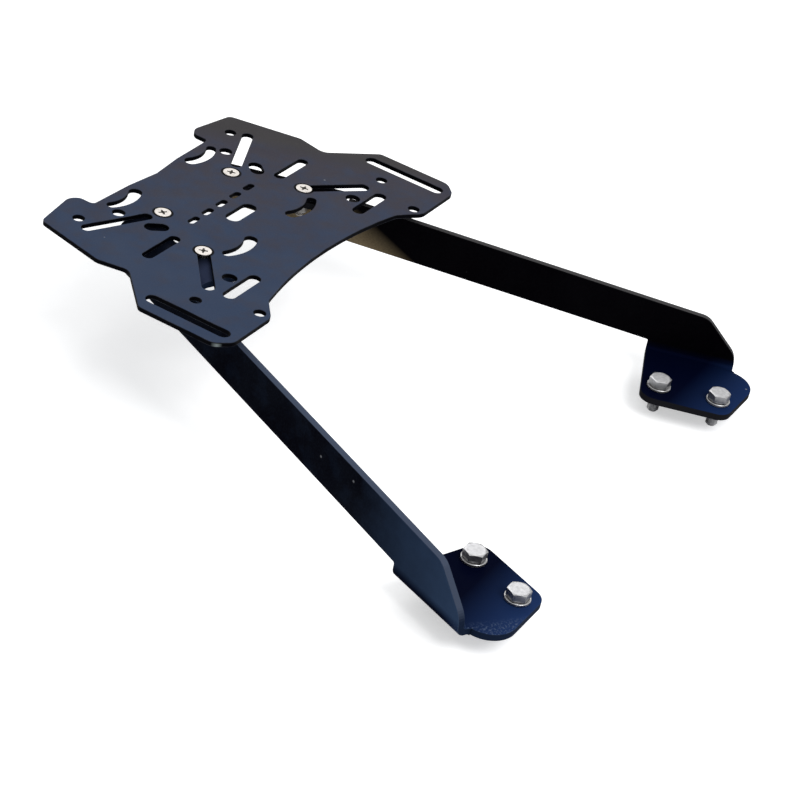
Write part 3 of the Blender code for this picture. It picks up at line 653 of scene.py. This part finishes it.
def bent(run, depth, outer_radius):
    """How far in and how far round a bend a point of the sheet comes.

    run is its distance past the bend's start on the flat blank, depth its distance in from
    the sheet's outer face.
    """
    arc = bend_arc(outer_radius)
    turn = min(run / arc, 1.0) * math.pi / 2
    reach = outer_radius - depth
    inboard = outer_radius - reach * math.cos(turn) + max(run - arc, 0.0)
    return inboard, reach * math.sin(turn)


def arm_bm(side):
    """One arm: the blank is scored along its bends and folded, then turned to its splay."""
    bm = sheet_bm([blank_outline()] + blank_holes(), ARM_THICKNESS, ARM_EDGE)
    join_flats(bm)
    mark_edges(bm)
    score_bends(bm)
    flange_end = FLANGE_FRONT + RELIEF_WIDTH / 2
    for vert in bm.verts:
        along, height, up = vert.co / MM
        depth = ARM_THICKNESS / 2 - up
        inboard, z = depth, height
        if height > FLANGE_BEND_Z and along < flange_end:
            inboard, beyond = bent(height - FLANGE_BEND_Z, depth, FLANGE_RADIUS)
            z = FLANGE_BEND_Z + beyond
        elif height < FOOT_BEND_Z:
            inboard, beyond = bent(FOOT_BEND_Z - height, depth, FOOT_RADIUS)
            z = FOOT_BEND_Z - beyond
        x, y = from_arm(along, inboard)
        vert.co = (side * x * MM, y * MM, z * MM)
    return bm


# Turned and hexagonal parts


def thread_reach(radius, z, angle, thread):
    """Radius at a height and an angle of a shank, where a thread winds in and out if it has one."""
    if thread is None or radius <= 0:
        return radius
    bottom, top, crest, pitch = thread
    if not bottom < z < top:
        return radius
    wave = 0.5 - 0.5 * math.cos(math.tau * z / pitch - angle)
    ends = min(1.0, (z - bottom) / pitch, (top - z) / pitch)
    return min(radius, crest - THREAD_DEPTH * pitch * wave * max(0.0, ends))


def lathe(profile, ring=False, sides=TURNED_SIDES, thread=None):
    """Turned solid about Z from (radius, z) points; a ring's profile closes on itself."""
    bm = bmesh.new()
    rows = []
    for radius, z in profile:
        row = []
        for i in range(sides):
            angle = math.tau * i / sides
            reach = thread_reach(radius, z, angle, thread)
            row.append(bm.verts.new((reach * math.cos(angle), reach * math.sin(angle), z)))
        rows.append(row)
    pairs = list(zip(rows, rows[1:]))
    if ring:
        pairs.append((rows[-1], rows[0]))
    for low, high in pairs:
        for i in range(sides):
            j = (i + 1) % sides
            bm.faces.new((low[i], low[j], high[j], high[i]))
    if not ring:
        bm.faces.new(rows[0][::-1])
        bm.faces.new(rows[-1])
    return bm


def prism(outline, bottom, top, bottom_scale=1.0):
    """Upright solid over an outline, scaled towards Z at its bottom."""
    bm = bmesh.new()
    face = bm.faces.new([bm.verts.new((x, y, top)) for x, y in outline])
    extruded = bmesh.ops.extrude_face_region(bm, geom=[face])
    for item in extruded["geom"]:
        if isinstance(item, bmesh.types.BMVert):
            item.co = (item.co.x * bottom_scale, item.co.y * bottom_scale, bottom)
    return bm


def hexagon_bar(across_flats):
    """Cutter that leaves a turned part with six flats."""
    return "INTERSECT", prism(hexagon(across_flats), BAR_BOTTOM, BAR_TOP)


def link(obj):
    bpy.context.scene.collection.objects.link(obj)


def to_object(bm, name):
    bmesh.ops.recalc_face_normals(bm, faces=bm.faces)
    mesh = bpy.data.meshes.new(name)
    bm.to_mesh(mesh)
    bm.free()
    obj = bpy.data.objects.new(name, mesh)
    link(obj)
    return obj


def combined(bm, tools, weld=FASTENER_WELD):
    """bmesh of a solid after (operation, bmesh) tools, in order."""
    body = to_object(bm, "body")
    made = []
    for operation, tool_bm in tools:
        tool = to_object(tool_bm, "tool")
        made.append(tool)
        modifier = body.modifiers.new(operation.lower(), "BOOLEAN")
        modifier.operation = operation
        modifier.solver = "EXACT"
        modifier.object = tool
    graph = bpy.context.evaluated_depsgraph_get()
    result = bpy.data.meshes.new_from_object(body.evaluated_get(graph))
    out = bmesh.new()
    out.from_mesh(result)
    for obj in [body] + made:
        bpy.data.objects.remove(obj)
    bpy.data.meshes.remove(result)
    bmesh.ops.remove_doubles(out, verts=out.verts, dist=weld)
    return out


def rows_between(top, bottom, thread):
    """Profile points down a shank, close enough together to carry its thread."""
    _, _, radius, pitch = thread
    count = round((top - bottom) * THREAD_STEPS / pitch)
    return [(radius, top + (bottom - top) * i / count) for i in range(count + 1)]


def placed(bm, x, y, z, turn=0.0):
    """Scales a fastener to metres and sets it in its place."""
    matrix = Matrix.Translation((x * MM, y * MM, z * MM)) @ Matrix.Rotation(turn, 4, "Z")
    bm.transform(matrix @ Matrix.Scale(MM, 4))
    return bm


def recess_cutters():
    """Cutters of a cross recess: four tapered wings and a pointed core."""
    half = RECESS_SPAN / 2
    wing = [(half, -RECESS_WING), (half, RECESS_WING), RECESS_ROOT, RECESS_ROOT[::-1]]
    cross = []
    for i in range(4):
        turn = Matrix.Rotation(i * math.pi / 2, 2)
        cross.extend(tuple(turn @ Vector(point)) for point in wing)
    return [
        ("DIFFERENCE", prism(cross, -RECESS_DEPTH, CUTTER_RISE, RECESS_TAPER)),
        ("DIFFERENCE", lathe(RECESS_CORE, sides=CORE_SIDES)),
    ]


def screw_bm():
    """Countersunk M6 screw with a cross recess, its head's face at zero."""
    neck = SCREW_RADIUS + SCREW_NECK
    corner = (SCREW_HEAD_RADIUS - SCREW_ROUND, -SCREW_ROUND)
    profile = [(SCREW_FACE_RADIUS, 0.0)]
    profile += arc_points(corner, SCREW_ROUND, math.pi / 2, -math.pi / 2, ROUND_STEPS)
    profile += [
        (SCREW_HEAD_RADIUS, -SCREW_HEAD_RIM),
        (neck, neck - SCREW_HEAD_RADIUS - SCREW_HEAD_RIM),
        (SCREW_RADIUS, -SCREW_HEAD_HEIGHT),
    ]
    profile += rows_between(SCREW_PLAIN_Z, SCREW_TIP - SCREW_LENGTH, SCREW_THREAD)
    profile += [(SCREW_RADIUS - SCREW_TIP, -SCREW_LENGTH)]
    cut = combined(lathe(profile, thread=SCREW_THREAD), recess_cutters())
    for face in cut.faces:
        middle = face.calc_center_median()
        inside = math.hypot(middle.x, middle.y) < RECESS_REACH
        # index 1: painted shade inside the cross recess
        face.material_index = 1 if inside and -RECESS_BOTTOM < middle.z < -RECESS_LIP else 0
    return cut


def washer_bm(bore, radius):
    """Flat washer, its upper face at zero."""
    profile = [
        (bore + WASHER_EDGE, 0.0),
        (radius - 2 * WASHER_EDGE, 0.0),
        (radius, -2 * WASHER_EDGE),
        (radius, WASHER_EDGE - WASHER_THICKNESS),
        (radius - WASHER_EDGE, -WASHER_THICKNESS),
        (bore, -WASHER_THICKNESS),
        (bore, -WASHER_EDGE),
    ]
    return lathe(profile, ring=True)


def nut_bm():
    """Lock nut, its seat at zero and its collar with the nylon ring's groove below."""
    corner = NUT_ACROSS_FLATS / 2 / math.cos(math.pi / 6)
    rim = (NUT_COLLAR_RADIUS - NUT_COLLAR_ROUND, NUT_COLLAR_ROUND - NUT_HEIGHT)
    profile = NUT_FACE + [
        (corner, -NUT_CHAMFER),
        (corner, NUT_CHAMFER - NUT_HEX_HEIGHT),
        (NUT_FOOT_RADIUS, -NUT_HEX_HEIGHT),
    ]
    profile += arc_points(rim, NUT_COLLAR_ROUND, 0.0, -math.pi / 2, ROUND_STEPS)
    profile += [
        (NUT_GROOVE_RADIUS, -NUT_HEIGHT),
        (NUT_GROOVE_RADIUS, NUT_GROOVE_DEPTH - NUT_HEIGHT),
        (SCREW_BORE, NUT_GROOVE_DEPTH - NUT_HEIGHT),
    ]
    return combined(lathe(profile, ring=True), [hexagon_bar(NUT_ACROSS_FLATS)])


def nylon_bm():
    """Ring in the lock nut's groove, with both lower edges chamfered."""
    return lathe(RING_UPPER + RING_LOWER, ring=True)


def bolt_bm():
    """Hexagon M8 bolt, the underside of its head at zero."""
    corner = BOLT_ACROSS_FLATS / 2 / math.cos(math.pi / 6)
    profile = [(radius, BOLT_HEAD_HEIGHT + z) for radius, z in BOLT_FACE]
    profile += [(corner, BOLT_HEAD_HEIGHT - BOLT_CHAMFER), (corner, BOLT_HEX_FOOT)] + BOLT_SEAT
    profile += rows_between(BOLT_PLAIN_Z, BOLT_TIP - BOLT_LENGTH, BOLT_THREAD)
    profile += [(BOLT_RADIUS - BOLT_TIP, -BOLT_LENGTH)]
    return combined(lathe(profile, thread=BOLT_THREAD), [hexagon_bar(BOLT_ACROSS_FLATS)])


# Nodes of the materials


class Graph:
    """A node tree, with a short method for each kind of node that the finishes use."""

    def __init__(self, tree):
        self.nodes = tree.nodes
        self.links = tree.links

    def feed(self, socket, value):
        """Links a socket to another one, or sets it to a number or a colour."""
        if isinstance(value, bpy.types.NodeSocket):
            self.links.new(value, socket)
        elif isinstance(value, tuple):
            socket.default_value = (*value, 1.0)
        else:
            socket.default_value = value

    def split(self, vector):
        made = self.nodes.new("ShaderNodeSeparateXYZ")
        self.feed(made.inputs["Vector"], vector)
        return made.outputs

    def facing(self):
        """X, Y and Z of the way that a face points."""
        return self.split(self.nodes.new("ShaderNodeNewGeometry").outputs["True Normal"])

    def marked(self, name):
        """Share that mark_edges wrote into the mesh."""
        made = self.nodes.new("ShaderNodeAttribute")
        made.attribute_name = name
        return made.outputs["Fac"]

    def noise(self, scale, detail=2.0, rough=0.5, vector=None):
        made = self.nodes.new("ShaderNodeTexNoise")
        self.feed(made.inputs["Vector"], vector or self.place)
        made.inputs["Scale"].default_value = scale
        made.inputs["Detail"].default_value = detail
        made.inputs["Roughness"].default_value = rough
        return made.outputs["Fac"]

    def ramp(self, value, span, low=0.0, high=1.0):
        """Runs from low, at the start of span, to high, at its end, and stays there."""
        made = self.nodes.new("ShaderNodeMapRange")
        self.feed(made.inputs["Value"], value)
        made.inputs["From Min"].default_value = span[0]
        made.inputs["From Max"].default_value = span[1]
        made.inputs["To Min"].default_value = low
        made.inputs["To Max"].default_value = high
        return made.outputs["Result"]

    def fall(self, value, span):
        """Runs from one, at the start of span, to zero, at its end."""
        return self.ramp(value, span, low=1.0, high=0.0)

    def mixed(self, share, first, second):
        """Colour that turns from first to second as share goes from zero to one."""
        made = self.nodes.new("ShaderNodeMix")
        made.data_type = "RGBA"
        self.feed(made.inputs["Factor"], share)
        self.feed(made.inputs[MIX_FIRST], first)
        self.feed(made.inputs[MIX_SECOND], second)
        return made.outputs[MIX_RESULT]

    def maths(self, operation, first, second=0.0):
        made = self.nodes.new("ShaderNodeMath")
        made.operation = operation
        self.feed(made.inputs[0], first)
        self.feed(made.inputs[1], second)
        return made.outputs["Value"]

    def product(self, first, *others):
        for other in others:
            first = self.maths("MULTIPLY", first, other)
        return first

    def run(self, direction, offset=0.0):
        """The place's X, Y and Z, each times its part of a direction, and an offset, summed."""
        total = offset
        for axis, weight in zip("XYZ", direction):
            if weight:
                total = self.maths("ADD", self.product(self.parts[axis], weight), total)
        return total

    def distance(self, vector, point):
        made = self.nodes.new("ShaderNodeVectorMath")
        made.operation = "DISTANCE"
        self.feed(made.inputs[0], vector)
        made.inputs[1].default_value = point
        return made.outputs["Value"]

    def bump(self, height, distance, strength, normal=None):
        made = self.nodes.new("ShaderNodeBump")
        made.inputs["Distance"].default_value = distance
        made.inputs["Strength"].default_value = strength
        self.feed(made.inputs["Height"], height)
        if normal is not None:
            self.feed(made.inputs["Normal"], normal)
        return made.outputs["Normal"]


def new_material(name):
    """A new material, its node graph and its shader's inputs."""
    made = bpy.data.materials.new(name)
    made.use_nodes = True
    graph = Graph(made.node_tree)
    graph.place = graph.nodes.new("ShaderNodeTexCoord").outputs["Object"]
    graph.parts = graph.split(graph.place)
    return made, graph, graph.nodes["Principled BSDF"].inputs


# Parts of the coat with a tone of their own, each as a share of that tone; most are painted light,
# shade or reflection


def tan_ground_reflection(graph):
    """Painted reflection of lit tan ground on the left arm's inner face, where it leaves the plate.
    """
    root = graph.ramp(graph.run(TAN_REFLECTION_SLOPE), TAN_REFLECTION_RUN)
    inward = (math.cos(ARM_SPLAY), math.sin(ARM_SPLAY))
    depth = graph.run(inward, offset=ARM_X * MM * math.cos(ARM_SPLAY))
    inner = graph.maths("GREATER_THAN", depth, TAN_REFLECTION_DEPTH)
    spread = graph.nodes.new("ShaderNodeTexCoord").outputs["Generated"]
    mottle = graph.noise(scale=220.0, vector=spread)
    uneven = graph.ramp(mottle, (0.35, 0.6), low=0.7)
    return graph.product(root, inner, graph.fall(graph.parts["Z"], TAN_REFLECTION_FADE_Z), uneven)


def lit_flange(graph):
    """Painted light on the front of the right arm's flange."""
    ahead = graph.ramp(graph.parts["Y"], FLANGE_RUN_Y)
    return graph.product(ahead, graph.ramp(graph.parts["Z"], FLANGE_FADE_Z))


def painted_corner_highlight(graph):
    """Painted highlight on the cut edge at the right wing's bevelled corner."""
    middle = BRIGHT_ALONG.dot(BRIGHT_MIDDLE)
    limit = BRIGHT_OUTWARD.dot(BRIGHT_LIMIT)
    away = graph.maths("ABSOLUTE", graph.run(BRIGHT_ALONG, offset=-middle))
    outside = graph.maths("GREATER_THAN", graph.run(BRIGHT_OUTWARD), limit)
    ends = graph.fall(away, BRIGHT_RUN)
    return graph.product(ends, outside, graph.fall(graph.parts["Z"], BRIGHT_FADE_Z))


def left_strip(graph):
    """Neutral tone along the plate's left and rear left edge."""
    return graph.fall(graph.run(PLATE_SLOPE), LEFT_STRIP)


def screw_shadow_and_dirt_rings(graph):
    """Dark ring round each countersunk head: painted shadow in the gap, and dirt."""
    flat = graph.nodes.new("ShaderNodeCombineXYZ")
    graph.feed(flat.inputs["X"], graph.maths("ABSOLUTE", graph.parts["X"]))
    graph.feed(flat.inputs["Y"], graph.parts["Y"])
    away = [
        graph.distance(flat.outputs["Vector"], (x * MM, y * MM, 0.0))
        for x, y in (FRONT_SCREW, REAR_SCREW)
    ]
    return graph.fall(graph.maths("MINIMUM", *away), RING_REACH)


# Finishes


def drifting_tone(graph, tone, near, far, drifting):
    """Colour that is near where tone is zero and far where it is one, and wanders between."""
    wander = graph.noise(scale=60.0, detail=4.0, rough=0.6)
    drift = graph.ramp(wander, (0.35, 0.65), low=-drifting, high=drifting)
    return graph.mixed(graph.maths("ADD", tone, drift), near, far)


def clouded(graph, base, worn):
    """Soft clouds and fine grain of the worn colour."""
    cloud = graph.noise(scale=14.0, detail=4.0, rough=0.6)
    lighter = graph.mixed(graph.ramp(cloud, (0.35, 0.7), high=0.12), base, worn)
    grain = graph.noise(scale=900.0, detail=2.0, rough=0.7)
    return graph.mixed(graph.ramp(grain, (0.45, 0.8), high=0.14), lighter, worn)


def foot_tones(graph, base, front_reflection_colour):
    """The foot: dark at its rear and blue at its front, a painted sky reflection, with painted glints
    along the front edge.
    """
    low = graph.fall(graph.parts["Z"], FOOT_FADE_Z)
    front = graph.ramp(graph.parts["Y"], FOOT_RUN_Y)
    toned = graph.mixed(low, base, graph.mixed(front, FOOT_SHADE, front_reflection_colour))
    glint = graph.noise(scale=700.0, detail=3.0, rough=0.7)
    edge = graph.ramp(graph.run(GLINT_SLOPE), GLINT_RUN)
    glints = graph.product(graph.ramp(glint, (0.5, 0.62), high=0.7), edge, low)
    return graph.mixed(glints, toned, GLINT_COLOUR)


def cut_sides(graph, base, edge, cut, shade, rim):
    """The sheet's cut sides, cut where they face up, a painted light, and shade elsewhere, and its
    dark rim.
    """
    # painted light: cut sides that face up turn to the cut colour
    lit_upward = graph.ramp(graph.facing()["Z"], (0.3, 0.8))
    sided = graph.mixed(graph.marked("side"), base, graph.mixed(lit_upward, shade, cut))
    return graph.mixed(graph.product(edge, rim), sided, shade)


def dust_share(graph, specks):
    """Share of pale dust: scattered dots, and a speck at each given place."""
    cells = graph.nodes.new("ShaderNodeTexVoronoi")
    cells.inputs["Scale"].default_value = 75.0
    graph.feed(cells.inputs["Vector"], graph.place)
    dot = graph.fall(cells.outputs["Distance"], (0.035, 0.065))
    pick = graph.nodes.new("ShaderNodeSeparateColor")
    graph.feed(pick.inputs["Color"], cells.outputs["Color"])
    few = graph.maths("GREATER_THAN", pick.outputs["Red"], 0.93)
    share = graph.product(dot, few, 0.5)
    for point in specks:
        speck = graph.ramp(graph.distance(graph.place, point), SPECK_REACH, low=0.5, high=0.0)
        share = graph.maths("MAXIMUM", share, speck)
    return share


def orange_peel(graph):
    """Normal of the sprayed coat's dimpled skin, with a finer grain on it."""
    broad = graph.bump(graph.noise(scale=620.0), distance=0.00005, strength=0.35)
    fine = graph.noise(scale=3200.0, rough=0.6)
    return graph.bump(fine, distance=0.00002, strength=0.25, normal=broad)


def powder_coat(
    name, near, far, span, worn, cut, shade,
    slope=(0.0, 1.0), drifting=0.05, roughness=0.42, sheen=0.004, rim=0.0,
    foot=None, patches=(), spots=(), specks=(),
):
    """Satin powder coat with orange peel, cloudy tone, dust and lighter broken edges.

    Its colour runs from near to far over span, and wanders by drifting; on the plate and the
    right arm that run is a painted reflection of the surroundings. worn is the colour of clouds
    and rubbed edges. cut is that of the sheet's cut sides where they face up, a painted light,
    and shade theirs elsewhere and, as far as the share rim says, the broken edges'. foot is the
    colour at the foot's front, a painted sky reflection. patches are (function that gives a
    share, colour) for parts of the flat faces, and spots the same for parts that take in the
    edges; most of them are painted light, shade or reflection. specks are places of single dust
    specks. sheen is the specular level, low because the gloss reflects a white world.
    """
    made, graph, inputs = new_material(name)
    # run from near to far: on the plate and the right arm a painted reflection
    tone = graph.ramp(graph.run(slope), span)
    colour = clouded(graph, drifting_tone(graph, tone, near, far, drifting), worn)
    if foot:
        colour = foot_tones(graph, colour, foot)
    # patches and spots: mostly painted light, shade and reflection of single places
    for share, tint in patches:
        colour = graph.mixed(share(graph), colour, tint)
    edge = graph.marked("rim")
    colour = cut_sides(graph, colour, edge, cut, shade, rim)
    for share, tint in spots:
        colour = graph.mixed(share(graph), colour, tint)
    rub = graph.noise(scale=55.0, detail=5.0, rough=0.7)
    rubbed = graph.product(edge, graph.ramp(rub, (0.38, 0.62)))
    colour = graph.mixed(graph.product(rubbed, 0.55), colour, worn)
    colour = graph.mixed(dust_share(graph, specks), colour, DUST_COLOUR)
    graph.feed(inputs["Base Color"], colour)

    haze = graph.noise(scale=32.0, detail=5.0, rough=0.65)
    gloss = graph.ramp(haze, (0.3, 0.7), low=roughness - 0.06, high=roughness + 0.09)
    smoother = graph.product(rubbed, -0.08)
    graph.feed(inputs["Roughness"], graph.maths("ADD", gloss, smoother))
    graph.feed(inputs["Specular IOR Level"], sheen)
    graph.feed(inputs["Normal"], orange_peel(graph))
    return made


def plate_coat():
    """The plate: brownish grey at its left and blue grey at its right, a painted reflection of the
    surroundings on a black coat, with nearly black sides.
    """
    return powder_coat(
        "plate_powder_coat",
        # near and far: painted reflection of the surroundings on the flat faces
        near=(0.042, 0.039, 0.052),
        far=(0.029, 0.046, 0.089),
        slope=PLATE_SLOPE,
        span=(-0.11, 0.09),
        drifting=0.35,
        worn=(0.085, 0.092, 0.115),
        cut=(0.001, 0.001, 0.002),
        shade=(0.001, 0.001, 0.002),
        roughness=0.46,
        sheen=0.02,
        rim=0.7,
        patches=[(left_strip, (0.046, 0.043, 0.045))],
        # spots: a painted highlight on the wing's corner, then painted shadow with dirt round the
        # screw heads
        spots=[(painted_corner_highlight, (0.17, 0.20, 0.20)), (screw_shadow_and_dirt_rings, (0.002, 0.002, 0.003))],
    )


def left_arm_coat():
    """The left arm: black, with painted light on its top edge, a painted reflection of lit tan ground
    at its root and a dark blue foot whose front is a painted sky reflection.
    """
    return powder_coat(
        "left_arm_powder_coat",
        near=(0.0007, 0.0004, 0.0010),
        far=(0.0008, 0.0005, 0.0012),
        span=(0.0, 0.29),
        worn=(0.012, 0.012, 0.014),
        # cut: painted light on the cut sides that face up
        cut=(0.056, 0.054, 0.055),
        shade=(0.010, 0.010, 0.012),
        # foot: painted sky reflection at the foot's front
        foot=(0.010, 0.026, 0.090),
        # painted reflection of lit tan ground at the arm's root
        patches=[(tan_ground_reflection, (0.215, 0.165, 0.098))],
    )


def right_arm_coat():
    """The right arm: black near the plate and blue at its nose, a painted sky reflection, with
    painted light on its upward cut sides and the flange's front, and two dust specks.
    """
    return powder_coat(
        "right_arm_powder_coat",
        near=(0.0010, 0.0009, 0.0030),
        # far: painted sky reflection towards the nose
        far=(0.036, 0.068, 0.140),
        span=(0.18, 0.30),
        worn=(0.030, 0.042, 0.066),
        # cut: painted light on the cut sides that face up
        cut=(0.058, 0.073, 0.112),
        shade=(0.008, 0.014, 0.032),
        # foot: painted sky reflection at the foot's front
        foot=(0.014, 0.034, 0.110),
        # painted light on the flange's front
        patches=[(lit_flange, (0.020, 0.027, 0.055))],
        specks=ARM_SPECKS,
    )


def steel(name, colour, roughness):
    """Plain stainless steel with clouds of haze and fine brushing."""
    made, graph, inputs = new_material(name)
    cloud = graph.ramp(graph.noise(scale=420.0, detail=4.0, rough=0.6), (0.3, 0.7))
    darker = tuple(0.72 * value for value in colour)
    graph.feed(inputs["Base Color"], graph.mixed(cloud, darker, colour))
    graph.feed(inputs["Metallic"], 1.0)
    stretched = graph.nodes.new("ShaderNodeMapping")
    stretched.inputs["Scale"].default_value = (9000.0, 700.0, 700.0)
    graph.feed(stretched.inputs["Vector"], graph.place)
    lines = graph.noise(scale=1.0, detail=3.0, rough=0.6, vector=stretched.outputs["Vector"])
    gloss = graph.ramp(lines, (0.3, 0.7), low=roughness - 0.07, high=roughness + 0.12)
    graph.feed(inputs["Roughness"], gloss)
    graph.feed(inputs["Normal"], graph.bump(lines, distance=0.00001, strength=0.2))
    return made


def mottled(name, dark, pale, scale, smooth, rough):
    """Dull mottled material, rougher where it is paler."""
    made, graph, inputs = new_material(name)
    cloud = graph.noise(scale, detail=3.0)
    graph.feed(inputs["Base Color"], graph.mixed(cloud, dark, pale))
    graph.feed(inputs["Roughness"], graph.ramp(cloud, (0.3, 0.7), low=smooth, high=rough))
    return made, inputs


def painted_recess_shade(name):
    """Painted shade in a screw's cross recess."""
    dark, pale = (0.050, 0.046, 0.040), (0.180, 0.165, 0.145)
    made, inputs = mottled(name, dark, pale, scale=1500.0, smooth=0.5, rough=0.75)
    inputs["Specular IOR Level"].default_value = 0.1
    return made


def nylon(name):
    """White nylon, a little yellowed."""
    dark, pale = (0.55, 0.56, 0.54), (0.72, 0.72, 0.69)
    return mottled(name, dark, pale, scale=800.0, smooth=0.45, rough=0.6)[0]


# Pieces


def piece(name, bm, node, materials):
    """Finished piece that stands for one node of the frame."""
    bmesh.ops.recalc_face_normals(bm, faces=bm.faces)
    if bm.calc_volume(signed=True) < 0:
        bmesh.ops.reverse_faces(bm, faces=bm.faces)
    mesh = bpy.data.meshes.new(name)
    bm.to_mesh(mesh)
    bm.free()
    for made in materials:
        mesh.materials.append(made)
    mesh.shade_smooth()
    mesh.set_sharp_from_angle(angle=SMOOTH_ANGLE)
    obj = bpy.data.objects.new(name, mesh)
    link(obj)
    weighted = obj.modifiers.new("flat faces", "WEIGHTED_NORMAL")
    weighted.keep_sharp = True
    weighted.weight = FLAT_WEIGHT
    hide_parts(node)
    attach(obj, "root")


def nylon_ring(name, bm, white):
    """A lock nut's ring, which stands for no node of its own."""
    ring = to_object(bm, name)
    ring.data.materials.append(white)
    ring.data.shade_smooth()
    ring.data.set_sharp_from_angle(angle=SMOOTH_ANGLE)
    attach(ring, "root")


def make_sheets():
    piece("carrier_plate", plate_bm(), "rack_plate", [plate_coat()])
    for (hand, side), coat in zip(HANDS, (right_arm_coat(), left_arm_coat())):
        piece(f"folded_arm_{hand}", arm_bm(side), f"{hand}_arm", [coat])


def make_plate_fastenings(washer_coat):
    """A screw, a washer and a lock nut with its nylon ring at each of the plate's four corners."""
    # the second material is the painted shade in the cross recess
    screw_coats = [steel("screw_stainless", (0.52, 0.49, 0.46), 0.38), painted_recess_shade("recess_painted_shade")]
    nut_coat = steel("nut_stainless", (0.30, 0.29, 0.28), 0.36)
    white = nylon("lock_nylon")
    for end, (x, y) in (("front", FRONT_SCREW), ("rear", REAR_SCREW)):
        for hand, side in HANDS:
            place = f"{end}_{hand}"
            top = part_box(f"plate_screw_{place}")[1][2] / MM
            screw = placed(screw_bm(), side * x, y, top, SCREW_TURNS[place])
            piece(f"screw_{place}", screw, f"plate_screw_{place}", screw_coats)
            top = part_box(f"plate_washer_{place}")[1][2] / MM
            washer = placed(washer_bm(SCREW_BORE, WASHER_RADIUS), side * x, y, top)
            piece(f"washer_{place}", washer, f"plate_washer_{place}", [washer_coat])
            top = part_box(f"plate_nut_{place}")[1][2] / MM
            nut = placed(nut_bm(), side * x, y, top)
            piece(f"lock_nut_{place}", nut, f"plate_nut_{place}", [nut_coat])
            nylon_ring(f"lock_ring_{place}", placed(nylon_bm(), side * x, y, top), white)


def make_foot_fastenings(washer_coat):
    """A washer and a hexagon bolt at each of the feet's four holes."""
    bolt_coat = steel("bolt_stainless", (0.46, 0.46, 0.47), 0.34)
    for end, spot in FOOT_BOLTS.items():
        x, y = from_arm(*spot)
        for hand, side in HANDS:
            place = f"{end}_{hand}"
            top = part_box(f"foot_washer_{place}")[1][2] / MM
            washer = placed(washer_bm(BOLT_BORE, BROAD_WASHER_RADIUS), side * x, y, top)
            name = f"foot_washer_{place}"
            piece(f"broad_washer_{place}", washer, name, [washer_coat])
            bolt = placed(bolt_bm(), side * x, y, top + GAP)
            piece(f"hex_bolt_{place}", bolt, f"foot_bolt_{place}", [bolt_coat])


# Floor, light and camera


def floor_material():
    """Matt pale grey that the camera sees as white, with the rack's shadow."""
    made, graph, inputs = new_material("pale_floor")
    graph.feed(inputs["Base Color"], (FLOOR_GREY, FLOOR_GREY, FLOOR_GREY))
    graph.feed(inputs["Roughness"], 0.9)
    graph.feed(inputs["Specular IOR Level"], 0.0)
    graph.feed(inputs["Emission Color"], WHITE)
    path = graph.nodes.new("ShaderNodeLightPath")
    seen = graph.product(path.outputs["Is Camera Ray"], FLOOR_GLOW)
    graph.feed(inputs["Emission Strength"], seen)
    return made


def make_floor():
    low = min(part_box(f"foot_bolt_{p}")[0][2] for p in ("front_right", "rear_right"))
    bm = bmesh.new()
    bmesh.ops.create_grid(bm, x_segments=1, y_segments=1, size=FLOOR_SIZE)
    floor = to_object(bm, "floor")
    floor.location.z = low - FLOOR_DROP
    floor.data.materials.append(floor_material())


def background(graph, colour, strength):
    made = graph.nodes.new("ShaderNodeBackground")
    graph.feed(made.inputs["Color"], colour)
    graph.feed(made.inputs["Strength"], strength)
    return made.outputs["Background"]


def make_world():
    """Soft sky light on the rack, and a white backdrop for what the camera and gloss see."""
    world = bpy.data.worlds.new("studio")
    bpy.context.scene.world = world
    world.use_nodes = True
    world.node_tree.nodes.clear()
    graph = Graph(world.node_tree)
    path = graph.nodes.new("ShaderNodeLightPath").outputs
    seen = graph.maths("MAXIMUM", path["Is Camera Ray"], path["Is Glossy Ray"])
    seen = graph.maths("MAXIMUM", seen, path["Is Transmission Ray"])
    mix = graph.nodes.new("ShaderNodeMixShader")
    graph.feed(mix.inputs["Fac"], seen)
    graph.feed(mix.inputs[1], background(graph, SKY_COLOUR, SKY_STRENGTH))
    graph.feed(mix.inputs[2], background(graph, WHITE, 1.0))
    out = graph.nodes.new("ShaderNodeOutputWorld")
    graph.feed(out.inputs["Surface"], mix.outputs["Shader"])


def area_light(name, place, aim, size, power):
    data = bpy.data.lights.new(name, "AREA")
    data.shape = "DISK"
    data.size = size
    data.energy = power
    lamp = bpy.data.objects.new(name, data)
    link(lamp)
    lamp.location = place
    lamp.rotation_mode = "QUATERNION"
    lamp.rotation_quaternion = (Vector(aim) - Vector(place)).to_track_quat("-Z", "Y")


def make_camera():
    """The photograph's view: a place, a line of sight and a roll about it."""
    data = bpy.data.cameras.new("camera")
    data.sensor_width = SENSOR_WIDTH
    data.lens = FOCAL_PIXELS * SENSOR_WIDTH / IMAGE_WIDTH
    camera = bpy.data.objects.new("camera", data)
    link(camera)
    camera.location = CAMERA_PLACE
    camera.rotation_mode = "QUATERNION"
    roll = Quaternion((0, 0, 1), CAMERA_ROLL)
    camera.rotation_quaternion = Vector(CAMERA_SIGHT).to_track_quat("-Z", "Y") @ roll
    bpy.context.scene.camera = camera


make_camera()
make_sheets()
washer_coat = steel("washer_stainless", (0.50, 0.50, 0.50), 0.36)
make_plate_fastenings(washer_coat)
make_foot_fastenings(washer_coat)
make_floor()
make_world()
area_light("key", place=(0.5, 1.7, 2.1), aim=(0.0, 0.1, 0.0), size=1.6, power=38.0)
area_light("fill", place=(-1.6, -1.0, 1.9), aim=(0.0, 0.05, 0.0), size=1.8, power=16.0)
bpy.context.scene.view_settings.view_transform = "Standard"
